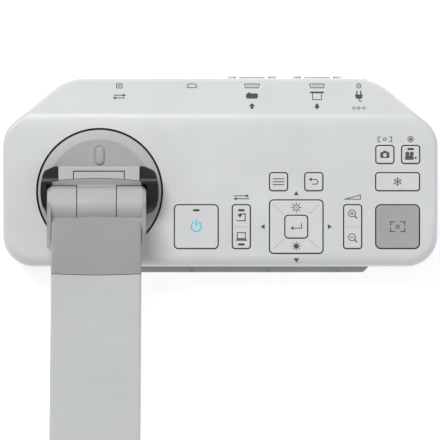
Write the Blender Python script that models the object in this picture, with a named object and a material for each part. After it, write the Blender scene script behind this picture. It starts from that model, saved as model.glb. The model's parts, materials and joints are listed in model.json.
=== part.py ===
"""Desktop document camera: a key console with rear sockets, a turntable, and an arm with a camera head.

Every dimension is in millimetres and becomes metres when a mesh is made. X runs to the right along the
console, Y runs to its rear and Z up. The table is at Z 0 and the console's front edge is at Y 0.
"""

import math

import bmesh
import bpy
from mathutils import Vector

MM = 0.001
GAP = 0.3  # clearance between neighbouring pieces

# Console
BASE_HALF_WIDTH = 135.0
BASE_DEPTH = 117.0
SIDE_CORNER_Y = 84.3
REAR_CORNER_X = 95.1
FRONT_RADIUS = 19.3
SIDE_RADIUS = 19.3
REAR_RADIUS = 31.0
TOP_Z = 50.0
FALL_Y = 78.0  # the top begins a slight fall here
BEND_Y = 91.9  # and bends over its crease here
BEND_DEPTH = 5.5
FALL_SLOPE = 0.10
REAR_DROP = 14.5
COVER_WALL = 2.4
FRONT_EDGE_RADIUS = 6.5
REAR_EDGE_RADIUS = 2.8
EDGE_BLEND_Y = 50.0
SEAM_Z = 14.0
CASE_BOTTOM = 2.0
CASE_FLOOR = 4.6
CASE_STEP = 0.8
TOE_ROOT_HALF = 92.6
TOE_TIP_HALF = 88.6
TOE_REACH = 3.7
TOE_CHAMFER = 1.8
FOOT_RADIUS = 7.5
FEET = {
    "left_front": (-112.0, 9.0),
    "right_front": (112.0, 9.0),
    "left_rear": (-92.0, 102.0),
    "right_rear": (92.0, 102.0),
}
BALLAST = (-110.0, 110.0, 14.0, 98.0, 5.0, 12.6)

# Openings for the keys: centre X, centre Y, width, depth, corner radius
KEYS = {
    "power_key": (-14.9, 24.7, 28.0, 28.0, 2.9),
    "menu_key": (36.2, 52.6, 12.0, 12.0, 2.1),
    "escape_key": (58.1, 52.6, 12.0, 12.0, 2.1),
    "focus_key": (110.1, 24.7, 28.0, 28.0, 3.6),
    "freeze_key": (110.1, 52.6, 28.0, 12.0, 2.1),
    "capture_key": (102.2, 69.5, 12.0, 12.0, 2.1),
    "record_key": (118.2, 69.5, 12.0, 12.0, 2.1),
}
ROCKERS = {
    "source_rocker": (13.1, 24.7, 12.0, 28.0, 2.1),
    "zoom_rocker": (82.2, 24.7, 12.0, 28.0, 2.1),
}
FOUR_WAY = (47.2, 24.7, 34.0, 34.0, 2.9)
ENTER = (47.2, 24.7, 15.0, 15.0, 2.6)
ENTER_DISC = 9.3
KEY_GAP = 0.7
KEY_TOP = 50.8
KEY_CHAMFER = 0.45
FLANGE = 0.8  # how far a key's flange reaches under the cover
FLANGE_TOP = 47.2
KEY_FOOT = 44.0
ROCKER_FLANGE_TOP = 46.2
FOUR_WAY_FLANGE_TOP = 45.8
TILT_Z = 45.0
KEY_BOARD = (-32.0, 125.0, 6.5, 79.0, 39.4, 41.0)

# Rear sockets
MAIN_BOARD_Z = (15.0, 16.6)
VGA = {"vga_out_port": 19.7, "vga_in_port": 60.1}
VGA_Z = 24.6
VGA_FACE_Y = 116.4
VGA_WINDOW = (32.0, 13.2)
POST_SPACING = 12.5
POST_RADIUS = 2.6
THREAD_RADIUS = 1.45
USB_X = -62.7
USB_Z = 22.4
HDMI_X = -17.6
HDMI_Z = 20.2
DC_X = 86.1
DC_Z = 21.9
TONGUE_SET_BACK = 4.8

# Turntable
TURRET_X = -74.9
TURRET_Y = 46.6
TURRET_HOLE = 39.3
TURRET_RADIUS = 38.3
TURRET_TOP = 51.0
RECESS_RADIUS = 31.6
RECESS_FLOOR = 50.4
POINTER_TOP = 51.6
HOUSING_LEFT = -23.7
HOUSING_RIGHT = 26.5
HOUSING_REAR = 25.1
HOUSING_TOP = 4.0
VISOR_FRONT = 13.4
VISOR_FRONT_TOP = -0.8
KNUCKLE_HALF = 12.1
TAB = (-14.3, 17.1, 18.1, 22.0)
TAB_TOP = 3.7
CAP_RADIUS = 36.6
CAP_RIDGE = 71.5

# Arm
ARM_X = -76.6
SHOULDER_Y = 37.0
SHOULDER_Z = 66.0
BARREL_RADIUS = 13.1
YOKE_HALF_WIDTH = 30.7
EAR_INNER = 28.25
EAR_END = 35.5
EAR_SLANT = 4.2
NECK_Z = (-8.5, 1.8)
SPINE_START = 26.0
ARM_HALF_WIDTH = 27.85
ARM_HALF_THICK = 9.3
ARM_CORNER = 2.0
ARM_WALL = 2.2
LOWER_LENGTH = 255.0
LOWER_ELEVATION = 50.0
ELBOW_RADIUS = 12.0
ELBOW_CLEAR = 19.0
UPPER_LENGTH = 150.0
UPPER_ELEVATION = 17.0
UPPER_HALF_WIDTH = 23.0
UPPER_HALF_THICK = 7.0
UPPER_CORNER = 2.6
UPPER_WALL = 2.0
PLUG_HALF_WIDTH = 20.6  # plugs close the upper arm's shells at both ends
PLUG_HALF_THICK = 4.6
SHOULDER_PIN = 4.0
ELBOW_PIN = 3.5
HEAD_PIN = 2.5
PIN_CLEAR = 0.3
SPLIT_Z = -3.0
COLLAR_START = 20.0
COLLAR_START_BOW = 4.6
COLLAR_END = 76.0
COLLAR_END_BOW = 1.3

# Camera head
HEAD_BARREL = 9.0
HEAD_REAR = 12.3
HEAD_LENGTH = 66.0
HEAD_HALF_WIDTH = 30.0
HEAD_TOP = 13.0
HEAD_BOTTOM = -17.0
HEAD_WALL = 2.0
HEAD_SPLIT = 0.0
LENS_H = 50.0
LENS_RADIUS = 14.0

HEAD_FRONT_Y = (
    SHOULDER_Y
    - LOWER_LENGTH * math.cos(math.radians(LOWER_ELEVATION))
    - UPPER_LENGTH * math.cos(math.radians(UPPER_ELEVATION))
    - HEAD_REAR
    - HEAD_LENGTH
)
POST_END_Y = BASE_DEPTH + 1.3  # the sockets' screw posts reach furthest back
FRAME_Y = (HEAD_FRONT_Y + POST_END_Y) / 2  # half way between the head and the sockets


# ---------------------------------------------------------------- outlines


def arc(cx, cy, radius, start, stop, steps):
    """Points on an arc, angles in degrees."""
    points = []
    for i in range(steps + 1):
        angle = math.radians(start + (stop - start) * i / steps)
        points.append((cx + radius * math.cos(angle), cy + radius * math.sin(angle)))
    return points


def circle(radius, steps, cx=0.0, cy=0.0):
    return arc(cx, cy, radius, 0, 360, steps)[:-1]


def rounded_rect(width, depth, radius, steps=3, cx=0.0, cy=0.0, split=1):
    """A rectangle with round corners; split divides the two edges that run along the first axis."""
    half_w = width / 2 - radius
    half_d = depth / 2 - radius
    corners = [(1, 1, 0), (-1, 1, 90), (-1, -1, 180), (1, -1, 270)]
    points = []
    for sx, sy, start in corners:
        corner = arc(cx + sx * half_w, cy + sy * half_d, radius, start, start + 90, steps)
        points += corner
        if start in (0, 180):
            x0, y0 = corner[-1]
            for i in range(1, split):
                points.append((x0 - sx * 2 * half_w * i / split, y0))
    return points


def top_z(y):
    """Height of the console's top over y: level, a slight fall, a soft crease, then the rear slope."""
    fall = FALL_SLOPE * (BEND_Y - FALL_Y) / 3
    run = BASE_DEPTH - BEND_Y - BEND_DEPTH / 2
    slope = (REAR_DROP - fall - FALL_SLOPE * BEND_DEPTH / 2) / run
    if y <= FALL_Y:
        return TOP_Z
    if y <= BEND_Y:
        return TOP_Z - fall * ((y - FALL_Y) / (BEND_Y - FALL_Y)) ** 3
    if y >= BEND_Y + BEND_DEPTH:
        return TOP_Z - REAR_DROP + slope * (BASE_DEPTH - y)
    t = (y - BEND_Y) / BEND_DEPTH
    return TOP_Z - fall - BEND_DEPTH * (FALL_SLOPE * t + (slope - FALL_SLOPE) * (t ** 3 - t ** 4 / 2))


def half_outline():
    """The right half of the console's plan, front to rear, as points with their outward normals."""
    turn = math.degrees(math.atan2(BASE_HALF_WIDTH - REAR_CORNER_X, BASE_DEPTH - SIDE_CORNER_Y))
    side_cut = SIDE_RADIUS * math.tan(math.radians(turn / 2))
    rear_cut = REAR_RADIUS * math.tan(math.radians((90 - turn) / 2))
    bends = [
        (BASE_HALF_WIDTH - FRONT_RADIUS, FRONT_RADIUS, FRONT_RADIUS, -90, 0, 6),
        (BASE_HALF_WIDTH - SIDE_RADIUS, SIDE_CORNER_Y - side_cut, SIDE_RADIUS, 0, turn, 4),
        (REAR_CORNER_X - rear_cut, BASE_DEPTH - REAR_RADIUS, REAR_RADIUS, turn, 90, 4),
    ]
    points = []
    for cx, cy, radius, start, stop, steps in bends:
        bend = []
        for i in range(steps + 1):
            angle = math.radians(start + (stop - start) * i / steps)
            nx, ny = math.cos(angle), math.sin(angle)
            bend.append((cx + radius * nx, cy + radius * ny, nx, ny))
        if stop == 90:  # the slanting side carries extra points, where the top bends over its crease
            x0, y0, nx, ny = points[-1]
            x1, y1 = bend[0][:2]
            for i in range(1, 7):
                t = i / 7
                points.append((x0 + (x1 - x0) * t, y0 + (y1 - y0) * t, nx, ny))
        points += bend
    return points


def console_ring(inset, height):
    """The whole plan moved in by inset(y), as a ring of points at height(y)."""
    right = []
    for x, y, nx, ny in half_outline():
        px, py = x - nx * inset(y), y - ny * inset(y)
        right.append((px, py, height(py, y)))
    return right + [(-x, y, z) for x, y, z in reversed(right)]


def flat_ring(outline, z):
    return [(x, y, z) for x, y in outline]


def x_ring(x, outline):
    """An outline in Y and Z, at x."""
    return [(x, y, z) for y, z in outline]


def y_ring(y, outline):
    """An outline in X and Z, at y."""
    return [(x, y, z) for x, z in outline]


def barrel(x0, x1, radius, steps=28):
    """Rings of a cylinder along X."""
    return [x_ring(x0, circle(radius, steps)), x_ring(x1, circle(radius, steps))]


def slab(x0, x1, y0, y1, z0, z1):
    """Rings of a rectangular block."""
    plan = [(x0, y0), (x1, y0), (x1, y1), (x0, y1)]
    return [flat_ring(plan, z0), flat_ring(plan, z1)]


# ---------------------------------------------------------------- bodies


def add_loft(mesh, rings, closed=False, ladder=False):
    """Skins rings of equal length. Unless closed, each end is capped by one face or by rungs across it."""
    grid = [[mesh.verts.new(Vector(p) * MM) for p in ring] for ring in rings]
    count = len(grid[0])
    pairs = list(zip(grid, grid[1:]))
    if closed:
        pairs.append((grid[-1], grid[0]))
    for low, high in pairs:
        for i in range(count):
            j = (i + 1) % count
            mesh.faces.new((low[i], low[j], high[j], high[i]))
    if closed:
        return
    for ring in (grid[0], grid[-1]):
        if not ladder:
            mesh.faces.new(ring)
            continue
        for i in range(count // 2 - 1):
            mesh.faces.new((ring[i], ring[i + 1], ring[count - 2 - i], ring[count - 1 - i]))


def body(name, lofts, material, parent, at=(0, 0, 0), closed=False, ladder=False):
    """One object holding the given lofts, placed in its parent's frame."""
    mesh = bmesh.new()
    for rings in lofts:
        add_loft(mesh, rings, closed, ladder)
    bmesh.ops.recalc_face_normals(mesh, faces=mesh.faces)
    data = bpy.data.meshes.new(name)
    mesh.to_mesh(data)
    mesh.free()
    data.shade_smooth()
    data.set_sharp_from_angle(angle=math.radians(35))
    if material:
        data.materials.append(material)
    part = bpy.data.objects.new(name, data)
    bpy.context.scene.collection.objects.link(part)
    part.parent = parent
    part.location = Vector(at) * MM
    return part


def combine(part, operation, lofts, closed=False):
    """Joins, cuts or intersects a part with the given lofts, which share its frame."""
    name = f"{part.name}_{operation.lower()}_{len(part.modifiers)}"
    tool = body(name, lofts, None, part.parent, closed=closed)
    tool.location = part.location
    tool.hide_render = True
    tool.display_type = "WIRE"
    modifier = part.modifiers.new(operation.title(), "BOOLEAN")
    modifier.operation = operation
    modifier.object = tool
    modifier.solver = "EXACT"


def soften(part, width, segments=2):
    """Rounds a part's sharp edges."""
    modifier = part.modifiers.new("Bevel", "BEVEL")
    modifier.width = width * MM
    modifier.segments = segments
    modifier.limit_method = "ANGLE"
    modifier.angle_limit = math.radians(40)


def pivot(name, parent, at, turn=0.0):
    """An empty on a joint's axis, turned about X in degrees."""
    empty = bpy.data.objects.new(name, None)
    bpy.context.scene.collection.objects.link(empty)
    empty.parent = parent
    empty.location = Vector(at) * MM
    empty.rotation_euler.x = math.radians(turn)
    return empty


def paint(name, colour, roughness, metallic=0.0):
    material = bpy.data.materials.new(name)
    material.use_nodes = True
    shader = material.node_tree.nodes["Principled BSDF"]
    shader.inputs["Base Color"].default_value = (*colour, 1.0)
    shader.inputs["Roughness"].default_value = roughness
    shader.inputs["Metallic"].default_value = metallic
    return material


# ---------------------------------------------------------------- console


def edge_radius(y):
    """The top edge's radius falls from the front of the console towards its middle."""
    t = max(0.0, min(1.0, y / EDGE_BLEND_Y))
    return FRONT_EDGE_RADIUS + (REAR_EDGE_RADIUS - FRONT_EDGE_RADIUS) * t


def skin_rings(wall, steps=3):
    """Rings of the console's skin, moved in by wall, from the seam to the top."""
    rings = [console_ring(lambda y: wall, lambda py, y: SEAM_Z)]
    for i in range(steps + 1):
        angle = math.radians(90 * i / steps)

        def inset(y, angle=angle):
            return wall + (edge_radius(y) - wall) * (1 - math.cos(angle))

        def height(py, y, angle=angle):
            return top_z(py) - wall - (edge_radius(y) - wall) * (1 - math.sin(angle))

        rings.append(console_ring(inset, height))
    return rings


def key_plan(key, grow=0.0):
    x, y, width, depth, radius = key
    return rounded_rect(width + 2 * grow, depth + 2 * grow, radius + grow, cx=x, cy=y)


def port_window(x, z, width, height):
    """A hole through the rear wall."""
    outline = rounded_rect(width, height, 0.8, 2, cx=x, cy=z)
    return [y_ring(BASE_DEPTH - 6, outline), y_ring(BASE_DEPTH + 4, outline)]


def base_top_cover(parent, material):
    rings = list(reversed(skin_rings(COVER_WALL))) + skin_rings(0.0)
    cover = body("base_top_cover", [rings], material, parent, ladder=True)
    holes = [[flat_ring(circle(TURRET_HOLE, 64, TURRET_X, TURRET_Y), z) for z in (TOP_Z - 8, TOP_Z + 5)]]
    for key in [*KEYS.values(), *ROCKERS.values(), FOUR_WAY]:
        holes.append([flat_ring(key_plan(key), z) for z in (TOP_Z - 8, TOP_Z + 5)])
    for x in VGA.values():
        holes.append(port_window(x, VGA_Z, *VGA_WINDOW))
    holes.append(port_window(USB_X, USB_Z, 12.8, 11.8))
    holes.append(port_window(HDMI_X, HDMI_Z, 16.0, 7.0))
    holes.append(port_window(DC_X, DC_Z, 9.8, 10.8))
    combine(cover, "DIFFERENCE", holes)


def toe_outline(inset, reach):
    """The lower case's plan, with the toe that reaches out under the front edge."""
    ring = [(x, y) for x, y, _ in console_ring(lambda y: inset, lambda py, y: 0.0)]
    toe = [(-TOE_ROOT_HALF, inset), (-TOE_TIP_HALF, -reach), (TOE_TIP_HALF, -reach), (TOE_ROOT_HALF, inset)]
    return ring + toe


def base_bottom_case(parent, material):
    top = SEAM_Z - GAP
    rings = [
        flat_ring(toe_outline(CASE_STEP + TOE_CHAMFER, TOE_REACH - TOE_CHAMFER), CASE_BOTTOM),
        flat_ring(toe_outline(CASE_STEP, TOE_REACH), CASE_BOTTOM + 2.0),
        flat_ring(toe_outline(CASE_STEP, TOE_REACH), top),
    ]
    case = body("base_bottom_case", [rings], material, parent)
    plan = [(x, y) for x, y, _ in console_ring(lambda y: 3.2, lambda py, y: 0.0)]
    combine(case, "DIFFERENCE", [[flat_ring(plan, CASE_FLOOR), flat_ring(plan, top + 5)]])


def feet(parent, material):
    for place, (x, y) in FEET.items():
        rings = [
            flat_ring(circle(FOOT_RADIUS - 0.8, 20), 0.0),
            flat_ring(circle(FOOT_RADIUS, 20), 0.8),
            flat_ring(circle(FOOT_RADIUS, 20), CASE_BOTTOM - GAP),
        ]
        body(f"foot_{place}", [rings], material, parent, at=(x, y, 0))


def boards_and_ballast(parent, steel, board):
    body("ballast_plate", [slab(*BALLAST)], steel, parent)
    body("key_board", [slab(*KEY_BOARD)], board, parent)
    plan = [(-30, 20), (96, 20), (96, 100), (90, 113), (-76, 113), (-76, 88), (-30, 88)]
    body("main_board", [[flat_ring(plan, z) for z in MAIN_BOARD_Z]], board, parent)


# ---------------------------------------------------------------- sockets


def d_outline(width, height, cx, cz):
    """The slanted D of a video connector's shell."""
    slant = 1.4
    corners = [
        (width / 2, height / 2),
        (-width / 2, height / 2),
        (-width / 2 + slant, -height / 2),
        (width / 2 - slant, -height / 2),
    ]
    return [(cx + x, cz + z) for x, z in corners]


def vga_port(name, x, parent, metal):
    """A video socket: a metal block with a D-shaped shell between two threaded posts."""
    port = body(name, [slab(x - 15.4, x + 15.4, 103, VGA_FACE_Y, VGA_Z - 6.2, VGA_Z + 6.2)], metal, parent)
    root = VGA_FACE_Y - 4.0
    d_shell = d_outline(16.6, 8.2, x, VGA_Z)
    extras = [[y_ring(root, d_shell), y_ring(VGA_FACE_Y + 1.4, d_shell)]]
    threads = []
    for side in (-POST_SPACING, POST_SPACING):
        post = circle(POST_RADIUS, 6, x + side, VGA_Z)
        thread = circle(THREAD_RADIUS, 12, x + side, VGA_Z)
        extras.append([y_ring(root, post), y_ring(POST_END_Y, post)])
        threads.append([y_ring(root, thread), y_ring(POST_END_Y + 3, thread)])
    combine(port, "UNION", extras)
    combine(port, "DIFFERENCE", threads)


def socket(name, block, mouth, depth, tongue, parent, metal):
    """A hollow socket in the rear wall; its tongue starts well inside the mouth."""
    x0, x1, z0, z1 = block
    back = BASE_DEPTH - 0.2
    port = body(name, [slab(x0, x1, back - depth - 2.5, back, z0, z1)], metal, parent)
    combine(port, "DIFFERENCE", [[y_ring(back - depth, mouth), y_ring(back + 2, mouth)]])
    combine(port, "UNION", [[y_ring(back - depth - 1, tongue), y_ring(back - TONGUE_SET_BACK, tongue)]])


def sockets(parent, metal, black):
    for name, x in VGA.items():
        vga_port(name, x, parent, metal)
    usb_mouth = rounded_rect(8.8, 8.1, 0.5, 1, cx=USB_X, cy=USB_Z)
    usb_tongue = rounded_rect(5.6, 3.0, 0.3, 1, cx=USB_X, cy=USB_Z)
    usb_block = (USB_X - 6.0, USB_X + 6.0, 16.9, 27.9)
    socket("usb_b_port", usb_block, usb_mouth, 12.0, usb_tongue, parent, metal)
    hdmi_mouth = rounded_rect(14.0, 5.0, 0.6, 1, cx=HDMI_X, cy=HDMI_Z)
    hdmi_tongue = rounded_rect(10.4, 1.0, 0.2, 1, cx=HDMI_X, cy=HDMI_Z)
    hdmi_block = (HDMI_X - 7.6, HDMI_X + 7.6, 17.1, 23.3)
    socket("hdmi_port", hdmi_block, hdmi_mouth, 11.0, hdmi_tongue, parent, metal)
    dc_mouth = circle(3.2, 16, DC_X, DC_Z)
    dc_pin = circle(1.0, 8, DC_X, DC_Z)
    dc_block = (DC_X - 4.5, DC_X + 4.5, 16.9, 26.9)
    socket("dc_jack", dc_block, dc_mouth, 11.0, dc_pin, parent, black)


# ---------------------------------------------------------------- keys


def cap_rings(key, bottom):
    """A key's cap, clear of its opening on every side; its origin is the key's centre."""
    centred = (0.0, 0.0, *key[2:])
    return [
        flat_ring(key_plan(centred, -KEY_GAP), bottom),
        flat_ring(key_plan(centred, -KEY_GAP), KEY_TOP - KEY_CHAMFER),
        flat_ring(key_plan(centred, -KEY_GAP - KEY_CHAMFER), KEY_TOP),
    ]


def key_rings(key, flange_top):
    """A cap over a wider flange, which keeps the key under the cover."""
    flange = key_plan((0.0, 0.0, *key[2:]), FLANGE)
    return [flat_ring(flange, KEY_FOOT), flat_ring(flange, flange_top)] + cap_rings(key, flange_top)


def shifted(rings, dz):
    return [[(x, y, z + dz) for x, y, z in ring] for ring in rings]


def press_keys(parent, light, grey):
    for name, key in KEYS.items():
        colour = grey if name == "focus_key" else light
        body(name, [key_rings(key, FLANGE_TOP)], colour, parent, at=(key[0], key[1], 0))


def rockers(parent, light):
    for name, key in ROCKERS.items():
        axis = pivot(f"{name}_axis", parent, (key[0], key[1], TILT_Z))
        body(name, [shifted(key_rings(key, ROCKER_FLANGE_TOP), -TILT_Z)], light, axis)


def four_way_keys(parent, light):
    axis = pivot("four_way_axis", parent, (FOUR_WAY[0], FOUR_WAY[1], TILT_Z))
    pad = body("four_way_key", [shifted(key_rings(FOUR_WAY, FOUR_WAY_FLANGE_TOP), -TILT_Z)], light, axis)
    hole = key_plan((0.0, 0.0, *ENTER[2:]))
    combine(pad, "DIFFERENCE", [[flat_ring(hole, -5), flat_ring(hole, 9)]])
    ring = [(10.0, -3.0), (13.0, -3.0), (13.0, -1.7), (10.0, -1.7)]
    body("four_way_gimbal", [turned(ring, 28)], light, axis, closed=True)
    cap = cap_rings(ENTER, 43.2)
    disc = circle(ENTER_DISC, len(cap[0]))
    rings = [flat_ring(disc, 42.2), flat_ring(disc, 43.2)] + cap
    body("enter_key", [rings], light, parent, at=(ENTER[0], ENTER[1], 0))


# ---------------------------------------------------------------- turntable


def turned(profile, steps):
    """Rings of a profile of radius and height turned about Z."""
    return [flat_ring(circle(radius, steps), z) for radius, z in profile]


def turntable(base, turret, light, metal, black):
    seat = [(36.8, 13.0), (38.6, 13.0), (38.6, 45.4), (34.4, 45.4), (34.4, 41.2), (36.8, 41.2)]
    body("turret_seat", [turned(seat, 48)], black, base, at=(TURRET_X, TURRET_Y, 0), closed=True)
    keeper = [(27.0, 37.2), (36.2, 37.2), (36.2, 40.6), (27.0, 40.6)]
    body("turret_keeper", [turned(keeper, 40)], metal, turret, closed=True)
    disc_profile = [
        (30.0, RECESS_FLOOR - 3.0),
        (30.0, 40.9),
        (34.0, 40.9),
        (34.0, 45.8),
        (TURRET_RADIUS, 45.8),
        (TURRET_RADIUS, TURRET_TOP - 0.6),
        (TURRET_RADIUS - 0.6, TURRET_TOP),
        (RECESS_RADIUS + 0.6, TURRET_TOP),
        (RECESS_RADIUS - 0.6, RECESS_FLOOR),
    ]
    disc = body("turret_disc", [turned(disc_profile, 64)], light, turret)
    pointer = []
    for inset, z in ((0, RECESS_FLOOR - 1.4), (0, POINTER_TOP - 0.8), (0.9, POINTER_TOP)):
        pointer.append(flat_ring(rounded_rect(5.9 - 2 * inset, 11.8 - 2 * inset, 2.9 - inset, 4, cy=22.3), z))
    combine(disc, "UNION", [pointer])


def visor_back(x):
    """Where the visor's bowed rear face stands, x being measured from the arm's centre."""
    return 16.3 - 1.7 * (x / 27.6) ** 2


def centre_knuckle(hinge, light):
    """The fixed middle of the shoulder barrel, its foot, and the bowed visor behind the barrel."""
    middle = barrel(-KNUCKLE_HALF, KNUCKLE_HALF, BARREL_RADIUS, 36)
    knuckle = body("hinge_centre_knuckle", [middle], light, hinge)
    visor = []
    for i in range(13):
        x = -27.6 + 55.2 * i / 12
        rear = visor_back(x)
        section = [(VISOR_FRONT, -9.0), (rear, -9.0), (rear, HOUSING_TOP), (rear - 0.5, HOUSING_TOP)]
        visor.append(x_ring(x, section + [(VISOR_FRONT, VISOR_FRONT_TOP)]))
    inner = KNUCKLE_HALF - 0.02
    foot = slab(-inner, inner, -7.0, VISOR_FRONT + 0.6, RECESS_FLOOR + GAP - SHOULDER_Z, -2.0)
    combine(knuckle, "UNION", [foot])
    combine(knuckle, "UNION", [visor])
    combine(knuckle, "DIFFERENCE", [barrel(-40, 40, SHOULDER_PIN + PIN_CLEAR, 20)])


def hinge_housing(hinge, light):
    """The block behind the visor, with a window for the release tab."""
    floor = RECESS_FLOOR + GAP - SHOULDER_Z
    rings = []
    for i in range(13):
        x = HOUSING_LEFT + (HOUSING_RIGHT - HOUSING_LEFT) * i / 12
        front = visor_back(x) + GAP
        section = [(front, floor), (HOUSING_REAR, floor), (HOUSING_REAR, HOUSING_TOP - 0.6)]
        rings.append(x_ring(x, section + [(HOUSING_REAR - 0.6, HOUSING_TOP), (front, HOUSING_TOP)]))
    housing = body("hinge_housing", [rings], light, hinge)
    x0, x1, y0, y1 = TAB
    combine(housing, "DIFFERENCE", [slab(x0 - GAP, x1 + GAP, y0 - GAP, y1 + GAP, -3.0, HOUSING_TOP + 2)])
    body("release_tab", [slab(x0, x1, y0, y1, 0.0, TAB_TOP)], light, hinge)


def hinge_cap(name, side, turret, black):
    """A side cover of the shoulder: its outer face follows the turntable and its top falls from a ridge."""
    centre = ARM_X - TURRET_X
    yoke_face = centre + side * (YOKE_HALF_WIDTH + 0.5)
    visor_end = centre + side * 28.0
    housing_face = centre + (HOUSING_RIGHT + GAP if side > 0 else HOUSING_LEFT - GAP)
    rear = SHOULDER_Y - TURRET_Y
    start, stop = (-22, 18) if side > 0 else (202, 162)
    outline = arc(0, 0, CAP_RADIUS, start, stop, 8)
    outline += [
        (side * 33.6, 13.0),
        (side * 27.8, 15.6),
        (housing_face, 15.6),
        (housing_face, rear + 15.5),
        (visor_end, rear + 14.9),
        (visor_end, rear + 13.9),
        (yoke_face, rear + 13.9),
        (yoke_face, outline[0][1]),
    ]
    block = [flat_ring(outline, TURRET_TOP + GAP), flat_ring(outline, CAP_RIDGE + 3)]
    cap = body(name, [block], black, turret)
    top = [(20, 60), (15.6, 65), (7.2, CAP_RIDGE), (-6.0, CAP_RIDGE - 1.5), (-11.0, 67.0), (-14.0, 60.0)]
    profile = [(-20, 40), (20, 40)] + top + [(-20, 50)]
    combine(cap, "INTERSECT", [[x_ring(-60, profile), x_ring(60, profile)]])
    combine(cap, "INTERSECT", [turned([(37.5, 45), (37.5, 66), (34.6, CAP_RIDGE + 2)], 64)])
    soften(cap, 0.6, 2)


# ---------------------------------------------------------------- lower arm


def bow(x, depth):
    """How far a bowed edge has moved at x."""
    return depth * (x / ARM_HALF_WIDTH) ** 2


def ear_outline(slant):
    """An ear in Y and Z, its end drawn back by slant."""
    tip = -EAR_END + slant
    return [(0, 10.4), (tip + 3.5, 6.5), (tip, 3.5), (tip, -5.0), (tip + 3.5, -8.0), (0, -10.4)]


def arm_yoke(arm, light):
    """The two outer barrels of the shoulder, with the ears that clasp the collar and a tongue inside it."""
    end = YOKE_HALF_WIDTH
    stations = [(-end, 10.7), (-28.2, BARREL_RADIUS), (28.2, BARREL_RADIUS), (end, 10.7)]
    yoke = body("arm_yoke", [[x_ring(x, circle(radius, 36)) for x, radius in stations]], light, arm)
    extras = [slab(-25.2, 25.2, -44, -8, -5.5, 2.0)]
    for side in (-1, 1):
        inner = x_ring(side * EAR_INNER, ear_outline(0.0))
        extras.append([inner, x_ring(side * end, ear_outline(EAR_SLANT))])
    neck_half = EAR_INNER + 0.05
    neck = [(neck_half, -8.0), (-neck_half, -8.0)]
    for i in range(9):
        x = neck_half * (i - 4) / 4
        neck.append((x, -COLLAR_START + 0.5 - bow(x, COLLAR_START_BOW)))
    combine(yoke, "UNION", extras)
    combine(yoke, "UNION", [[flat_ring(neck, z) for z in NECK_Z]])
    combine(yoke, "DIFFERENCE", [barrel(-12.6, 12.6, BARREL_RADIUS + 0.6, 36)])
    combine(yoke, "DIFFERENCE", [barrel(-40, 40, SHOULDER_PIN + PIN_CLEAR, 20)])


def arm_collar(arm, grey):
    outer = rounded_rect(2 * ARM_HALF_WIDTH, 2 * ARM_HALF_THICK, ARM_CORNER, 3, split=8)
    inner = rounded_rect(2 * (ARM_HALF_WIDTH - ARM_WALL), 2 * (ARM_HALF_THICK - ARM_WALL), 1.0, 3, split=8)
    rings = []
    near = (-COLLAR_START, -COLLAR_START_BOW)
    far = (-COLLAR_END, COLLAR_END_BOW)
    for outline, (middle, depth) in ((outer, near), (outer, far), (inner, far), (inner, near)):
        rings.append([(x, middle + bow(x, depth), z) for x, z in outline])
    body("arm_collar", [rings], grey, arm, closed=True)


def channel(half_width, edge_z, face_z, wall, radius, steps=3, split=8):
    """The U section of a half shell in X and Z: its outer skin, then its inner skin back again."""
    sign = 1 if face_z > edge_z else -1

    def path(w, face, r):
        points = [(-w, edge_z)]
        points += [(-x, face - sign * (r - z)) for x, z in arc(w - r, 0, r, 0, 90, steps)]
        points += [(-(w - r) + 2 * (w - r) * i / split, face) for i in range(1, split)]
        points += [(x, face - sign * (r - z)) for x, z in reversed(arc(w - r, 0, r, 0, 90, steps))]
        return points + [(w, edge_z)]

    outer = path(half_width, face_z, radius)
    inner = path(half_width - wall, face_z - sign * wall, max(radius - wall, 0.5))
    return outer + list(reversed(inner))


def half_shell(name, section, start, stop, arm, material, bowed=0.0):
    rings = [[(x, -start + bow(x, bowed), z) for x, z in section], [(x, -stop, z) for x, z in section]]
    body(name, [rings], material, arm, ladder=True)


def lower_arm(arm, light, alloy, steel):
    start, stop = COLLAR_END + 0.5, LOWER_LENGTH - ELBOW_CLEAR
    top = channel(ARM_HALF_WIDTH, SPLIT_Z, ARM_HALF_THICK, ARM_WALL, ARM_CORNER)
    under = channel(ARM_HALF_WIDTH, SPLIT_Z - GAP, -ARM_HALF_THICK, ARM_WALL, ARM_CORNER)
    half_shell("lower_arm_shell", top, start, stop, arm, light, bowed=COLLAR_END_BOW)
    half_shell("lower_arm_cover", under, start, stop, arm, light, bowed=COLLAR_END_BOW)
    body("lower_arm_spine", [slab(-20, 20, -stop + 0.5, -SPINE_START, 2.3, 5.3)], alloy, arm)
    elbow = (0, -LOWER_LENGTH, 0)
    drum = barrel(-ARM_HALF_WIDTH, ARM_HALF_WIDTH, ELBOW_RADIUS, 32)
    fork = body("elbow_fork", [drum], light, arm, at=elbow)
    neck = slab(-ARM_HALF_WIDTH + 0.01, ARM_HALF_WIDTH - 0.01, 0, ELBOW_CLEAR - GAP, -8.5, 8.5)
    combine(fork, "UNION", [neck])
    combine(fork, "UNION", [slab(-24, 24, 15, 44, -5.5, 2.0)])
    combine(fork, "DIFFERENCE", [barrel(-15.3, 15.3, 13.8, 32)])
    combine(fork, "DIFFERENCE", [slab(-15.3, 15.3, -2, 18.0, -14, -6.0)])
    combine(fork, "DIFFERENCE", [barrel(-40, 40, ELBOW_PIN + PIN_CLEAR, 20)])
    body("elbow_pin", [barrel(-27.4, 27.4, ELBOW_PIN, 16)], steel, arm, at=elbow)


# ---------------------------------------------------------------- upper arm


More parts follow.
